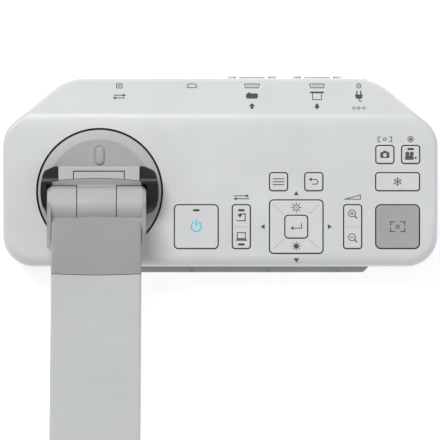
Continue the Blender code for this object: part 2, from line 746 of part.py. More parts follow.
def upper_arm(arm, light, alloy, steel):
    knuckle = body("elbow_knuckle", [barrel(-14.8, 14.8, ELBOW_RADIUS, 32)], light, arm)
    combine(knuckle, "UNION", [slab(-14.79, 14.79, -ELBOW_CLEAR + GAP, 0, -5.5, 5.5)])
    combine(knuckle, "UNION", [slab(-19, 19, -44, -18, -4.5, 1.5)])
    plug = (-PLUG_HALF_WIDTH, PLUG_HALF_WIDTH, -ELBOW_CLEAR - 2.2, -ELBOW_CLEAR - 0.2)
    combine(knuckle, "UNION", [slab(*plug, -PLUG_HALF_THICK, PLUG_HALF_THICK)])
    combine(knuckle, "DIFFERENCE", [barrel(-40, 40, ELBOW_PIN + PIN_CLEAR, 20)])
    start, stop = ELBOW_CLEAR, UPPER_LENGTH - 15.0
    top = channel(UPPER_HALF_WIDTH, -2.0, UPPER_HALF_THICK, UPPER_WALL, UPPER_CORNER, split=2)
    under = channel(UPPER_HALF_WIDTH, -2.0 - GAP, -UPPER_HALF_THICK, UPPER_WALL, UPPER_CORNER, split=2)
    half_shell("upper_arm_shell", top, start, stop, arm, light)
    half_shell("upper_arm_cover", under, start, stop, arm, light)
    body("upper_arm_spine", [slab(-15, 15, -132.9, -22, 1.8, 4.4)], alloy, arm)
    tip = (0, -UPPER_LENGTH, 0)
    end = body("head_hinge_barrel", [barrel(-12.0, 12.0, HEAD_BARREL, 28)], light, arm, at=tip)
    combine(end, "UNION", [slab(-11.99, 11.99, 0, 14.7, -5, 5)])
    combine(end, "UNION", [slab(-18, 18, 14, 40, -4.5, 1.5)])
    plug = (-PLUG_HALF_WIDTH, PLUG_HALF_WIDTH, 15.2, 16.8)
    combine(end, "UNION", [slab(*plug, -PLUG_HALF_THICK, PLUG_HALF_THICK)])
    combine(end, "DIFFERENCE", [barrel(-40, 40, HEAD_PIN + PIN_CLEAR, 16)])
    body("head_pin", [barrel(-19.6, 19.6, HEAD_PIN, 14)], steel, arm, at=tip)


# ---------------------------------------------------------------- camera head


def head_plan(inset):
    centre = -(HEAD_REAR + HEAD_LENGTH / 2)
    width, length = 2 * (HEAD_HALF_WIDTH - inset), HEAD_LENGTH - 2 * inset
    return rounded_rect(width, length, 9.0 - inset, 5, cy=centre)


def head_skin(face, edge, wall, radius):
    """Rings of one half of the head's skin from its open edge to its face."""
    sign = 1 if face > edge else -1
    rings = [flat_ring(head_plan(wall), edge)]
    for i in range(4):
        angle = math.radians(90 * i / 3)
        inset = wall + radius * (1 - math.cos(angle))
        rings.append(flat_ring(head_plan(inset), face - sign * (wall + radius * (1 - math.sin(angle)))))
    return rings


def head_shell(name, face, edge, head, material):
    rings = list(reversed(head_skin(face, edge, HEAD_WALL, 1.5))) + head_skin(face, edge, 0.0, 3.5)
    shell = body(name, [rings], material, head)
    combine(shell, "DIFFERENCE", [slab(-20.3, 20.3, -20, -5, -4.3, 4.3)])
    return shell


def camera_head(head, light, black, glass, metal, board, diffuser):
    bracket = body("head_bracket", [barrel(-20, 20, HEAD_BARREL, 28)], light, head)
    combine(bracket, "UNION", [slab(-19.99, 19.99, -34, 0, -4, 4)])
    combine(bracket, "DIFFERENCE", [barrel(-12.4, 12.4, HEAD_BARREL + 1.0, 28)])
    combine(bracket, "DIFFERENCE", [barrel(-40, 40, HEAD_PIN + PIN_CLEAR, 16)])
    top = head_shell("head_top_shell", HEAD_TOP, HEAD_SPLIT + GAP, head, light)
    combine(top, "DIFFERENCE", [slab(-4.3, 4.3, -27.3, -18.7, 8, 16)])
    bottom = head_shell("head_bottom_shell", HEAD_BOTTOM, HEAD_SPLIT, head, light)
    lens_hole = [flat_ring(circle(LENS_RADIUS + GAP, 32, 0, -LENS_H), z) for z in (-20, -12)]
    lamp_hole = [flat_ring(rounded_rect(24.6, 8.6, 2.0, 3, cy=-24), z) for z in (-20, -12)]
    combine(bottom, "DIFFERENCE", [lens_hole, lamp_hole])
    lens = (0, -LENS_H, 0)
    ring = [(9.2, -20.0), (12.8, -20.0), (LENS_RADIUS, -18.8), (LENS_RADIUS, -8.0), (9.2, -8.0)]
    body("lens_barrel", [turned(ring, 36)], black, head, at=lens, closed=True)
    dome = [(8.9, -15.5), (8.9, -17.0), (6.5, -17.9), (3.4, -18.4), (1.0, -18.5)]
    body("front_lens", [turned(dome, 28)], glass, head, at=lens)
    body("camera_module", [slab(-13, 13, -63, -37, -7.6, 3.0)], metal, head)
    body("lamp_board", [slab(-13, 13, -29, -19, -13.2, -12.0)], board, head)
    lamp = [flat_ring(rounded_rect(24.0, 8.0, 1.8, 3, cy=-24), z) for z in (-17.2, -13.6)]
    body("lamp_window", [lamp], diffuser, head)
    slider = [slab(-4, 4, -26, -20, 9.0, 13.0)]
    switch = body("lamp_switch", slider, black, head)
    combine(switch, "UNION", [slab(-1.2, 1.2, -25.4, -20.6, 12.5, 14.2)])


# ---------------------------------------------------------------- assembly


def clear_scene():
    for thing in list(bpy.data.objects):
        bpy.data.objects.remove(thing)


def main():
    clear_scene()
    light = paint("light_plastic", (0.60, 0.61, 0.62), 0.45)
    arm_light = paint("arm_plastic", (0.44, 0.45, 0.45), 0.45)
    hinge_light = paint("hinge_plastic", (0.43, 0.43, 0.43), 0.45)
    grey = paint("grey_plastic", (0.33, 0.33, 0.33), 0.5)
    dark = paint("dark_plastic", (0.34, 0.34, 0.34), 0.55)
    black = paint("black_plastic", (0.03, 0.03, 0.03), 0.35)
    rubber = paint("rubber", (0.04, 0.04, 0.04), 0.8)
    steel = paint("steel", (0.55, 0.55, 0.56), 0.35, 1.0)
    alloy = paint("alloy", (0.75, 0.75, 0.76), 0.35, 1.0)
    nickel = paint("nickel", (0.72, 0.70, 0.64), 0.3, 1.0)
    board = paint("board", (0.03, 0.18, 0.08), 0.5)
    glass = paint("glass", (0.05, 0.05, 0.07), 0.05)
    diffuser = paint("diffuser", (0.85, 0.85, 0.82), 0.4)

    base = pivot("console_frame", None, (0, -FRAME_Y, 0))
    turret = pivot("arm_swivel_axis", base, (TURRET_X, TURRET_Y, 0))
    hinge = pivot("hinge_frame", turret, (ARM_X - TURRET_X, SHOULDER_Y - TURRET_Y, SHOULDER_Z))
    lower = pivot("shoulder_axis", hinge, (0, 0, 0), -LOWER_ELEVATION)
    upper = pivot("elbow_axis", lower, (0, -LOWER_LENGTH, 0), LOWER_ELEVATION - UPPER_ELEVATION)
    head = pivot("head_tilt_axis", upper, (0, -UPPER_LENGTH, 0), UPPER_ELEVATION)

    base_top_cover(base, light)
    base_bottom_case(base, dark)
    feet(base, rubber)
    boards_and_ballast(base, steel, board)
    sockets(base, nickel, black)
    press_keys(base, light, grey)
    rockers(base, light)
    four_way_keys(base, light)
    turntable(base, turret, hinge_light, alloy, black)
    centre_knuckle(hinge, hinge_light)
    hinge_housing(hinge, hinge_light)
    hinge_cap("hinge_cap_left", -1, turret, black)
    hinge_cap("hinge_cap_right", 1, turret, black)
    body("shoulder_pin", [barrel(-30.2, 30.2, SHOULDER_PIN, 16)], steel, hinge)
    arm_yoke(lower, hinge_light)
    arm_collar(lower, grey)
    lower_arm(lower, arm_light, alloy, steel)
    upper_arm(upper, arm_light, alloy, steel)
    camera_head(head, light, black, glass, alloy, board, diffuser)
    bpy.context.view_layer.update()


main()
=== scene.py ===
"""The looks of a desktop document camera: shells, keys, printed marks, materials, floor, light and camera.

Shapes are written in millimetres in the frame of the console or of a joint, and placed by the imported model.
"""

import json
import math

import bmesh
import bpy
from mathutils import Matrix, Vector


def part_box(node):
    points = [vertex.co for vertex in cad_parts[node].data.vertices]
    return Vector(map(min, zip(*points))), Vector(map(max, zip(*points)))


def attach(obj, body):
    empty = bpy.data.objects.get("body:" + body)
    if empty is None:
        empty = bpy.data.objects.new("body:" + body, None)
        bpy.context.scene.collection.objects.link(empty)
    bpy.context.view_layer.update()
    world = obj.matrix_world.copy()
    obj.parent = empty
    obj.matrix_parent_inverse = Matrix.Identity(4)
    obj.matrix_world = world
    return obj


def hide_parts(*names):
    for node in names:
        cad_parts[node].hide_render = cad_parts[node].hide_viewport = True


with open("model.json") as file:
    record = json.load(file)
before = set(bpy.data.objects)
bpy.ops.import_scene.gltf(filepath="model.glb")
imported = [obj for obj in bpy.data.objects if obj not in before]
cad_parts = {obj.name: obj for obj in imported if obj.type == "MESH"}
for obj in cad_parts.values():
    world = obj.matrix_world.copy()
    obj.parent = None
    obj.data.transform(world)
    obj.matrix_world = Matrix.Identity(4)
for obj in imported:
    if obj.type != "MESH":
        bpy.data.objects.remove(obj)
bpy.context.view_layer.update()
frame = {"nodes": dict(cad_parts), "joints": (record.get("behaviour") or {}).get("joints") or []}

MM = 0.001

# ---- places taken from the frame

joint = {j["name"]: j for j in frame["joints"]}
cover_low, cover_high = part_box("base_top_cover")
shoulder_at = Vector(joint["shoulder"]["pos_m"])
elbow_at = Vector(joint["elbow"]["pos_m"])
head_at = Vector(joint["head_tilt"]["pos_m"])
swivel_at = Vector(joint["arm_swivel"]["pos_m"])


def lean(start, end):
    """The angle above the table of the arm from one joint to the next."""
    return math.atan2(end.z - start.z, start.y - end.y)


CONSOLE = Matrix.Translation((0, cover_low.y, 0))
TURRET = Matrix.Translation((swivel_at.x, swivel_at.y, 0))
HINGE = Matrix.Translation(shoulder_at)
LOWER = HINGE @ Matrix.Rotation(-lean(shoulder_at, elbow_at), 4, "X")
FORK = Matrix.Translation(elbow_at) @ Matrix.Rotation(-lean(shoulder_at, elbow_at), 4, "X")
UPPER = Matrix.Translation(elbow_at) @ Matrix.Rotation(-lean(elbow_at, head_at), 4, "X")
TIP = Matrix.Translation(head_at) @ Matrix.Rotation(-lean(elbow_at, head_at), 4, "X")
HEAD = Matrix.Translation(head_at)

# ---- sizes in millimetres

GAP = 0.3
HALF_WIDTH = cover_high.x / MM
DEPTH = (cover_high.y - cover_low.y) / MM
TOP_Z = cover_high.z / MM
SEAM_Z = cover_low.z / MM
SIDE_CORNER_Y = 84.3
REAR_CORNER_X = 95.1
FRONT_RADIUS = 19.3
SIDE_RADIUS = 19.3
REAR_RADIUS = 31.0
FALL_Y = 78.0  # the top begins a slight fall here
BEND_Y = 91.9  # and bends over its crease here
BEND_DEPTH = 5.5
FALL_SLOPE = 0.10
REAR_DROP = 14.5
SLOPE_HOLLOW = 0.35
WALL = 2.4
FRONT_EDGE = 6.5
REAR_EDGE = 2.6
EDGE_BLEND_Y = 45.0
# centres of the rear sockets in X and Z
VGA_OUT = (19.7, 24.6)
VGA_IN = (60.1, 24.6)
USB = (-62.7, 22.4)
HDMI = (-17.6, 20.2)
POWER_JACK = (86.1, 21.9)
CASE_SCREWS = [(x, y) for x in (-70, 0, 96) for y in (24, 92)]

LINE_WEIGHT = 1.25  # widens every printed line
INK_DEPTH = 0.08
INK_PROUD = 0.035
KEY_TOP = 50.8
KEY_DISH = 0.05
KEY_GAP = 0.7
KEY_FOOT = 44.0
FLANGE = 0.8
KEY_FLANGE_TOP = 47.2
ROCKER_FLANGE_TOP = 46.2
FOUR_WAY_FLANGE_TOP = 45.8
ENTER_FLANGE_TOP = 43.2
ENTER_FLANGE_RADIUS = 9.3
LED_RISE = 10.2  # from the centre of a tall key to its indicator window
# openings for the keys: centre X, centre Y, width, depth, corner radius
KEYS = {
    "power_key": (-14.9, 24.7, 28.0, 28.0, 2.9),
    "menu_key": (36.2, 52.6, 12.0, 12.0, 2.1),
    "escape_key": (58.1, 52.6, 12.0, 12.0, 2.1),
    "focus_key": (110.1, 24.7, 28.0, 28.0, 3.6),
    "freeze_key": (110.1, 52.6, 28.0, 12.0, 2.1),
    "capture_key": (102.2, 69.5, 12.0, 12.0, 2.1),
    "record_key": (118.2, 69.5, 12.0, 12.0, 2.1),
}
ROCKERS = {
    "source_rocker": (13.1, 24.7, 12.0, 28.0, 2.1),
    "zoom_rocker": (82.2, 24.7, 12.0, 28.0, 2.1),
}
FOUR_WAY = (47.2, 24.7, 34.0, 34.0, 2.9)
ENTER = (47.2, 24.7, 15.0, 15.0, 2.6)
KEY_CENTRES = {name: key[:2] for name, key in {**KEYS, **ROCKERS}.items()}
KEY_CENTRES.update(four_way_key=FOUR_WAY[:2], enter_key=ENTER[:2])
# rows of printed marks across the console
LABEL_Y = 43.0
TOP_LABEL_Y = 79.0
ARROW_Y = 99.5
POLARITY_Y = 98.4
SYMBOL_Y = 105.9
SOCKET_LABEL_Y = 112.2

TURNTABLE = (-74.9, 46.6)
TURRET_HOLE = 39.45
TURRET_RADIUS = 38.3
RECESS_RADIUS = 31.6
TURRET_TOP = 51.0
RECESS_FLOOR = 50.4
RIM_EDGE_Z = 49.95
POINTER = (5.9, 11.8, 2.9)  # width, length, corner radius
POINTER_Y = 22.3
POINTER_TOP = 51.6

BARREL = 13.1
KNUCKLE_HALF = 12.1
HOUSING_TOP = 4.0
HOUSING_SIDES = (-23.7, 26.5)
HOUSING_REAR = 25.1
HOUSING_FLOOR = RECESS_FLOOR + GAP - shoulder_at.z / MM
TAB_SIDES = (-14.1, 16.9)
TAB_REAR = 21.8
TAB_CLEAR = 0.5
VISOR_FRONT = 13.4
VISOR_FRONT_TOP = 1.6
VISOR_BACK = 17.5
VISOR_BOW = 1.7
VISOR_HALF = 27.6
CAP_RADIUS = 36.6
CAP_RIDGE = 71.5
YOKE_HALF = 30.7
EAR_END = 35.5
NECK_HALF = 28.3
NECK_Z = (-8.5, 1.8)
SHOULDER_BORE = 4.3

ARM_HALF = 27.85
ARM_THICK = 9.3
ARM_CORNER = 2.0
ARM_WALL = 2.2
ARM_SEAM = -3.0
COLLAR_NEAR = 20.0
COLLAR_FAR = 76.0
COLLAR_NEAR_BOW = 4.6
COLLAR_FAR_BOW = 1.3
UPPER_HALF = 23.0
UPPER_THICK = 7.0
UPPER_CORNER = 2.6
UPPER_WALL = 2.0
UPPER_SEAM = -2.0
UPPER_END = 15.0  # from the upper arm's end to the head's hinge
ELBOW_BARREL = 12.0
ELBOW_KNUCKLE_HALF = 14.8
ELBOW_CLEAR = 19.0
ELBOW_BORE = 3.8
HEAD_BARREL = 9.0
WRIST_HALF = 12.0
HEAD_BORE = 2.8
LOWER_LENGTH = (elbow_at - shoulder_at).length / MM
UPPER_LENGTH = (head_at - elbow_at).length / MM

HEAD_SIZE = (60.0, 66.0, 9.0)  # width, length, corner radius
HEAD_Y = -45.3
HEAD_TOP = 13.0
HEAD_BOTTOM = -17.0
HEAD_WALL = 2.0
LENS_Y = -50.0
LAMP_Y = -24.0

FLOOR_HALF = 25.0  # metres, so that the floor's edge stays out of sight
LIGHT_TARGET = (0, 0.1, 0.05)  # metres

# ---- outlines


def arc(cx, cy, radius, start, stop, steps):
    points = []
    for i in range(steps + 1):
        angle = math.radians(start + (stop - start) * i / steps)
        points.append((cx + radius * math.cos(angle), cy + radius * math.sin(angle)))
    return points


def circle(radius, steps, cx=0.0, cy=0.0):
    return arc(cx, cy, radius, 0, 360, steps)[:-1]


def rounded_rect(width, depth, radius, steps=6, cx=0.0, cy=0.0, split=1):
    """A rectangle with round corners; split divides the two edges along the first axis."""
    half_w = width / 2 - radius
    half_d = depth / 2 - radius
    points = []
    for sx, sy, start in ((1, 1, 0), (-1, 1, 90), (-1, -1, 180), (1, -1, 270)):
        corner = arc(cx + sx * half_w, cy + sy * half_d, radius, start, start + 90, steps)
        points += corner
        if start in (0, 180):
            x0, y0 = corner[-1]
            points += [(x0 - sx * 2 * half_w * i / split, y0) for i in range(1, split)]
    return points


def top_z(y):
    """Height of the console's top over y: level, a slight fall, a soft crease, then a hollow slope."""
    fall = FALL_SLOPE * (BEND_Y - FALL_Y) / 3
    run = DEPTH - BEND_Y - BEND_DEPTH / 2
    slope = (REAR_DROP - fall - FALL_SLOPE * BEND_DEPTH / 2) / run
    if y <= FALL_Y:
        return TOP_Z
    if y <= BEND_Y:
        return TOP_Z - fall * ((y - FALL_Y) / (BEND_Y - FALL_Y)) ** 3
    if y >= BEND_Y + BEND_DEPTH:
        t = min(1.0, (y - BEND_Y - BEND_DEPTH) / (DEPTH - BEND_Y - BEND_DEPTH))
        return TOP_Z - REAR_DROP + slope * (DEPTH - y) - SLOPE_HOLLOW * math.sin(math.pi * t)
    t = (y - BEND_Y) / BEND_DEPTH
    return TOP_Z - fall - BEND_DEPTH * (FALL_SLOPE * t + (slope - FALL_SLOPE) * (t ** 3 - t ** 4 / 2))


def half_outline():
    """The right half of the console's plan, front to rear, with outward normals."""
    turn = math.degrees(math.atan2(HALF_WIDTH - REAR_CORNER_X, DEPTH - SIDE_CORNER_Y))
    side_cut = SIDE_RADIUS * math.tan(math.radians(turn / 2))
    rear_cut = REAR_RADIUS * math.tan(math.radians((90 - turn) / 2))
    bends = [
        (HALF_WIDTH - FRONT_RADIUS, FRONT_RADIUS, FRONT_RADIUS, -90, 0, 18),
        (HALF_WIDTH - SIDE_RADIUS, SIDE_CORNER_Y - side_cut, SIDE_RADIUS, 0, turn, 12),
        (REAR_CORNER_X - rear_cut, DEPTH - REAR_RADIUS, REAR_RADIUS, turn, 90, 14),
    ]
    points = []
    for cx, cy, radius, start, stop, steps in bends:
        bend = []
        for i in range(steps + 1):
            angle = math.radians(start + (stop - start) * i / steps)
            nx, ny = math.cos(angle), math.sin(angle)
            bend.append((cx + radius * nx, cy + radius * ny, nx, ny))
        if points:
            x0, y0, nx, ny = points[-1]
            x1, y1 = bend[0][:2]
            steps = 16 if stop == 90 else 4
            for i in range(1, steps):
                t = i / steps
                points.append((x0 + (x1 - x0) * t, y0 + (y1 - y0) * t, nx, ny))
        points += bend
    return points


HALF_OUTLINE = half_outline()


def console_ring(inset, height):
    right = []
    for x, y, nx, ny in HALF_OUTLINE:
        px, py = x - nx * inset(y), y - ny * inset(y)
        right.append((px, py, height(py, y)))
    return right + [(-x, y, z) for x, y, z in reversed(right)]


def flat_ring(outline, z):
    return [(x, y, z) for x, y in outline]


def x_ring(x, outline):
    return [(x, y, z) for y, z in outline]


def y_ring(y, outline):
    return [(x, y, z) for x, z in outline]


def turned(profile, steps):
    return [flat_ring(circle(radius, steps), z) for radius, z in profile]


def barrel(profile, steps=64):
    """Rings along X from pairs of x and radius."""
    return [x_ring(x, circle(radius, steps)) for x, radius in profile]


def soft_barrel(half, radius, edge=0.5, steps=64):
    """A barrel along X with rounded ends."""
    turns = (0, 0.5, 1.05, 1.57)
    low = [(-half + edge * (1 - math.cos(a)), radius - edge * (1 - math.sin(a))) for a in turns]
    return barrel(low + [(-x, r) for x, r in reversed(low)], steps)


def prism(outline, low, high):
    return [flat_ring(outline, low), flat_ring(outline, high)]


def y_prism(outline, front, rear):
    return [y_ring(front, outline), y_ring(rear, outline)]


def slab(x0, x1, y0, y1, z0, z1):
    return prism([(x0, y0), (x1, y0), (x1, y1), (x0, y1)], z0, z1)


def quarter(radius, steps):
    """Inset and drop along a rounded edge, from the side to the top."""
    turns = [math.radians(90 * i / steps) for i in range(steps + 1)]
    return [(radius * (1 - math.cos(a)), radius * (1 - math.sin(a))) for a in turns]


# ---- meshes


def add_loft(mesh, rings, closed=False, ladder=False):
    grid = [[mesh.verts.new(Vector(p) * MM) for p in ring] for ring in rings]
    count = len(grid[0])
    pairs = list(zip(grid, grid[1:]))
    if closed:
        pairs.append((grid[-1], grid[0]))
    for low, high in pairs:
        for i in range(count):
            j = (i + 1) % count
            mesh.faces.new((low[i], low[j], high[j], high[i]))
    if closed:
        return
    for ring in (grid[0], grid[-1]):
        if not ladder:
            mesh.faces.new(ring)
            continue
        for i in range(count // 2 - 1):
            mesh.faces.new((ring[i], ring[i + 1], ring[count - 2 - i], ring[count - 1 - i]))


def add_object(name, data):
    thing = bpy.data.objects.new(name, data)
    bpy.context.scene.collection.objects.link(thing)
    return thing


def link_mesh(name, mesh, place=Matrix()):
    """Turns a bmesh into an object of the scene."""
    data = bpy.data.meshes.new(name)
    mesh.to_mesh(data)
    mesh.free()
    thing = add_object(name, data)
    thing.matrix_world = place
    return thing


def mesh_object(name, lofts, place, closed=False, ladder=False):
    mesh = bmesh.new()
    for rings in lofts:
        add_loft(mesh, rings, closed, ladder)
    bmesh.ops.recalc_face_normals(mesh, faces=mesh.faces)
    return link_mesh(name, mesh, place)


def carve(thing, lofts, operation="DIFFERENCE"):
    """Applies a Boolean with lofts in the piece's own frame."""
    tool = mesh_object("tool", lofts, thing.matrix_world)
    modifier = thing.modifiers.new("carve", "BOOLEAN")
    modifier.operation = operation
    modifier.object = tool
    modifier.solver = "EXACT"
    bpy.context.view_layer.update()
    done = bpy.data.meshes.new_from_object(thing.evaluated_get(bpy.context.evaluated_depsgraph_get()))
    thing.modifiers.clear()
    thing.data = done
    bpy.data.objects.remove(tool)


def join(thing, *lofts):
    """Adds lofts to a piece, one after another."""
    for loft in lofts:
        carve(thing, [loft], "UNION")


def bore(thing, radius, half=40, steps=40):
    """Cuts a round hole along X."""
    carve(thing, [barrel([(-half, radius), (half, radius)], steps)])


def round_edges(thing, width, segments=3, angle=40):
    """Rounds sharp edges and keeps the flats flat."""
    bevel = thing.modifiers.new("round", "BEVEL")
    bevel.width = width * MM
    bevel.segments = segments
    bevel.limit_method = "ANGLE"
    bevel.angle_limit = math.radians(angle)
    bevel.use_clamp_overlap = True
    flats = thing.modifiers.new("flats", "WEIGHTED_NORMAL")
    flats.keep_sharp = True


def dress(thing, material, body, *nodes, sharp=35):
    """Gives a piece its finish and its body, and hides the CAD nodes it stands for."""
    thing.data.materials.clear()
    thing.data.materials.append(material)
    thing.data.shade_smooth()
    thing.data.set_sharp_from_angle(angle=math.radians(sharp))
    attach(thing, body)
    if nodes:
        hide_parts(*nodes)
    return thing


# ---- materials


def finish(name, slot, colour, roughness, grain=0.45, bump=0.010, mottle=0.03, metallic=0.0, coat=0.0,
           wear=0.12, shine=0.5):
    """A moulded or metal surface: fine texture, faint mottling, rub marks, and convex edges made lighter,
    partly as wear and partly as a painted edge highlight.

    The grain's size and the bump's height are in millimetres.
    """
    material = bpy.data.materials.new(name)
    material.use_nodes = True
    material["slot"] = slot
    nodes, links = material.node_tree.nodes, material.node_tree.links
    shader = nodes["Principled BSDF"]
    shader.inputs["Metallic"].default_value = metallic
    shader.inputs["Coat Weight"].default_value = coat
    shader.inputs["Specular IOR Level"].default_value = shine
    shader.inputs["Coat Roughness"].default_value = 0.25
    place = nodes.new("ShaderNodeTexCoord")

    def noise(scale, detail, vector=None):
        node = nodes.new("ShaderNodeTexNoise")
        node.inputs["Scale"].default_value = scale
        node.inputs["Detail"].default_value = detail
        links.new(vector or place.outputs["Object"], node.inputs["Vector"])
        return node.outputs["Fac"]

    def spread(value, low, high, to_low, to_high):
        node = nodes.new("ShaderNodeMapRange")
        for socket, number in zip(("From Min", "From Max", "To Min", "To Max"), (low, high, to_low, to_high)):
            node.inputs[socket].default_value = number
        links.new(value, node.inputs["Value"])
        return node.outputs["Result"]

    def mix(amount, first, second):
        node = nodes.new("ShaderNodeMix")
        node.data_type = "RGBA"
        links.new(amount, node.inputs["Factor"])
        for socket, value in ((node.inputs["A"], first), (node.inputs["B"], second)):
            if isinstance(value, tuple):
                socket.default_value = (*value, 1.0)
            else:
                links.new(value, socket)
        return node.outputs["Result"]

    def shade(factor):
        return tuple(min(1.0, c * factor) for c in colour)

    cloud = spread(noise(28, 4), 0.3, 0.7, 0.0, 1.0)
    body_colour = mix(cloud, shade(1 - mottle), shade(1 + mottle))
    speck = spread(noise(1400, 2), 0.62, 0.75, 0.0, 0.35)
    body_colour = mix(speck, body_colour, shade(1 - 2.5 * mottle))
    # Convex edges are mixed towards a lighter colour: a painted edge highlight that also stands for rub wear.
    edge = nodes.new("ShaderNodeNewGeometry").outputs["Pointiness"]
    worn_and_lit_edges = spread(edge, 0.53, 0.62, 0.0, wear)
    highlight_edge_colour = tuple(min(1.0, c * 1.12 + 0.03) for c in colour)
    links.new(mix(worn_and_lit_edges, body_colour, highlight_edge_colour), shader.inputs["Base Color"])

    stretch = nodes.new("ShaderNodeMapping")
    stretch.inputs["Scale"].default_value = (30, 420, 420)
    stretch.inputs["Rotation"].default_value = (0.3, 0.2, 0.5)
    links.new(place.outputs["Object"], stretch.inputs["Vector"])
    rubs = spread(noise(1.0, 3, stretch.outputs["Vector"]), 0.35, 0.7, -0.05, 0.06)
    patch = spread(noise(60, 3), 0.3, 0.7, roughness - 0.04, roughness + 0.05)
    total = nodes.new("ShaderNodeMath")
    total.operation = "ADD"
    links.new(rubs, total.inputs[0])
    links.new(patch, total.inputs[1])
    links.new(total.outputs["Value"], shader.inputs["Roughness"])

    relief = nodes.new("ShaderNodeBump")
    relief.inputs["Strength"].default_value = 0.6
    relief.inputs["Distance"].default_value = bump * MM
    links.new(noise(1000 / grain, 3), relief.inputs["Height"])
    links.new(relief.outputs["Normal"], shader.inputs["Normal"])
    return material


def lens_material():
    """Coated glass: dark, clear and faintly violet."""
    material = finish("coated_lens", "lens_glass", (0.03, 0.025, 0.05), 0.06, bump=0.0004, wear=0.0, coat=1.0)
    material.node_tree.nodes["Principled BSDF"].inputs["Coat Roughness"].default_value = 0.02
    return material


COVER = finish("cover_plastic", "light_plastic", (0.600, 0.612, 0.618), 0.38, coat=0.28)
KEY = finish("key_plastic", "light_plastic", (0.615, 0.625, 0.630), 0.36, grain=0.3, bump=0.006, coat=0.1)
KEY_GREY = finish("focus_plastic", "grey_plastic", (0.345, 0.345, 0.345), 0.40, grain=0.3, bump=0.006,
                  coat=0.05)
ARM = finish("arm_plastic", "arm_plastic", (0.396, 0.406, 0.406), 0.44)
HINGE_PLASTIC = finish("hinge_plastic", "hinge_plastic", (0.412, 0.412, 0.410), 0.48, shine=0.36)
HOUSING = finish("housing_plastic", "hinge_plastic", (0.436, 0.436, 0.434), 0.46, shine=0.42)
# A darker copy of the hinge plastic: painted shade for the ears, which curve down and away from the light.
EAR_PAINTED_SHADE = finish("ear_plastic", "hinge_plastic", (0.272, 0.272, 0.271), 0.46)
RECESS = finish("recess_plastic", "hinge_plastic", (0.365, 0.365, 0.362), 0.45)
COLLAR = finish("collar_plastic", "grey_plastic", (0.250, 0.250, 0.249), 0.44)
CASE = finish("case_plastic", "dark_plastic", (0.44, 0.44, 0.442), 0.55, grain=0.6, bump=0.02)
BLACK = finish("black_plastic", "black_plastic", (0.010, 0.010, 0.011), 0.34, grain=0.3, bump=0.004,
               mottle=0.10, shine=0.32)
RUBBER = finish("foot_rubber", "rubber", (0.035, 0.035, 0.035), 0.85, grain=0.8, bump=0.04, mottle=0.12)
STEEL = finish("plated_steel", "steel", (0.56, 0.56, 0.57), 0.34, grain=1.2, bump=0.006, metallic=1.0)
ALLOY = finish("pressed_alloy", "alloy", (0.72, 0.72, 0.73), 0.38, grain=0.9, bump=0.010, metallic=1.0)
NICKEL = finish("nickel_shell", "nickel", (0.50, 0.488, 0.455), 0.36, grain=0.7, bump=0.004, metallic=1.0)
BOARD = finish("board_mask", "board", (0.02, 0.13, 0.05), 0.40, grain=1.0, bump=0.03, mottle=0.15)
DIFFUSER = finish("milky_diffuser", "diffuser", (0.86, 0.86, 0.82), 0.50, grain=0.8, bump=0.03)
INK = finish("print_ink", "dark_plastic", (0.055, 0.057, 0.060), 0.50, grain=0.2, bump=0.004,
             mottle=0.08, wear=0.0)
PALE_INK = finish("pale_ink", "grey_plastic", (0.33, 0.335, 0.34), 0.50, grain=0.2, bump=0.004, wear=0.0)
CYAN_INK = finish("cyan_ink", "light_plastic", (0.075, 0.52, 0.74), 0.42, grain=0.2, bump=0.004, wear=0.0)
LED = finish("led_window", "black_plastic", (0.018, 0.018, 0.020), 0.40, grain=0.2, bump=0.003, wear=0.0)
# Near-black painted shade for the gaps round the keys and round the turntable; the parts there are light
# plastic.
GAP_PAINTED_SHADE = finish("key_flange", "light_plastic", (0.04, 0.04, 0.04), 0.6, wear=0.0)
CONTACT = finish("socket_insert", "black_plastic", (0.045, 0.045, 0.050), 0.45)
LENS = lens_material()

# ---- console


def edge_radius(y):
    """The cover's edge is widest at the front and narrows towards the rear."""
    t = max(0.0, min(1.0, y / EDGE_BLEND_Y))
    return FRONT_EDGE + (REAR_EDGE - FRONT_EDGE) * t * t * (3 - 2 * t)


def skin_rings(wall, steps=8):
    """The cover's outer skin, or its inner one at the depth of the wall."""
    rings = [console_ring(lambda y: wall, lambda py, y: SEAM_Z)]
    for i in range(steps + 1):
        angle = math.radians(90 * i / steps)

        def inset(y, angle=angle):
            return wall + (edge_radius(y) - wall) * (1 - math.cos(angle))

        def height(py, y, angle=angle):
            return top_z(py) - wall - (edge_radius(y) - wall) * (1 - math.sin(angle))

        rings.append(console_ring(inset, height))
    return rings


def key_plan(key, grow=0.0, steps=6):
    x, y, width, depth, radius = key
    return rounded_rect(width + 2 * grow, depth + 2 * grow, radius + grow, steps, cx=x, cy=y)


def port_window(socket, width, height):
    outline = rounded_rect(width, height, 0.8, 4, cx=socket[0], cy=socket[1])
    return y_prism(outline, DEPTH - 6, DEPTH + 4)


def top_cover():
    rings = list(reversed(skin_rings(WALL))) + skin_rings(0.0)
    cover = mesh_object("cover_shell", [rings], CONSOLE, ladder=True)
    plans = [circle(TURRET_HOLE, 128, *TURNTABLE)]
    plans += [key_plan(key) for key in [*KEYS.values(), *ROCKERS.values(), FOUR_WAY]]
    holes = [prism(plan, TOP_Z - 8, TOP_Z + 5) for plan in plans]
    holes += [port_window(VGA_OUT, 32.0, 13.2), port_window(VGA_IN, 32.0, 13.2)]
    holes += [port_window(USB, 12.8, 11.8), port_window(HDMI, 16.0, 7.0), port_window(POWER_JACK, 9.8, 10.8)]
    carve(cover, holes)
    round_edges(cover, 0.14, 2, 50)
    dress(cover, COVER, "base", "base_top_cover")


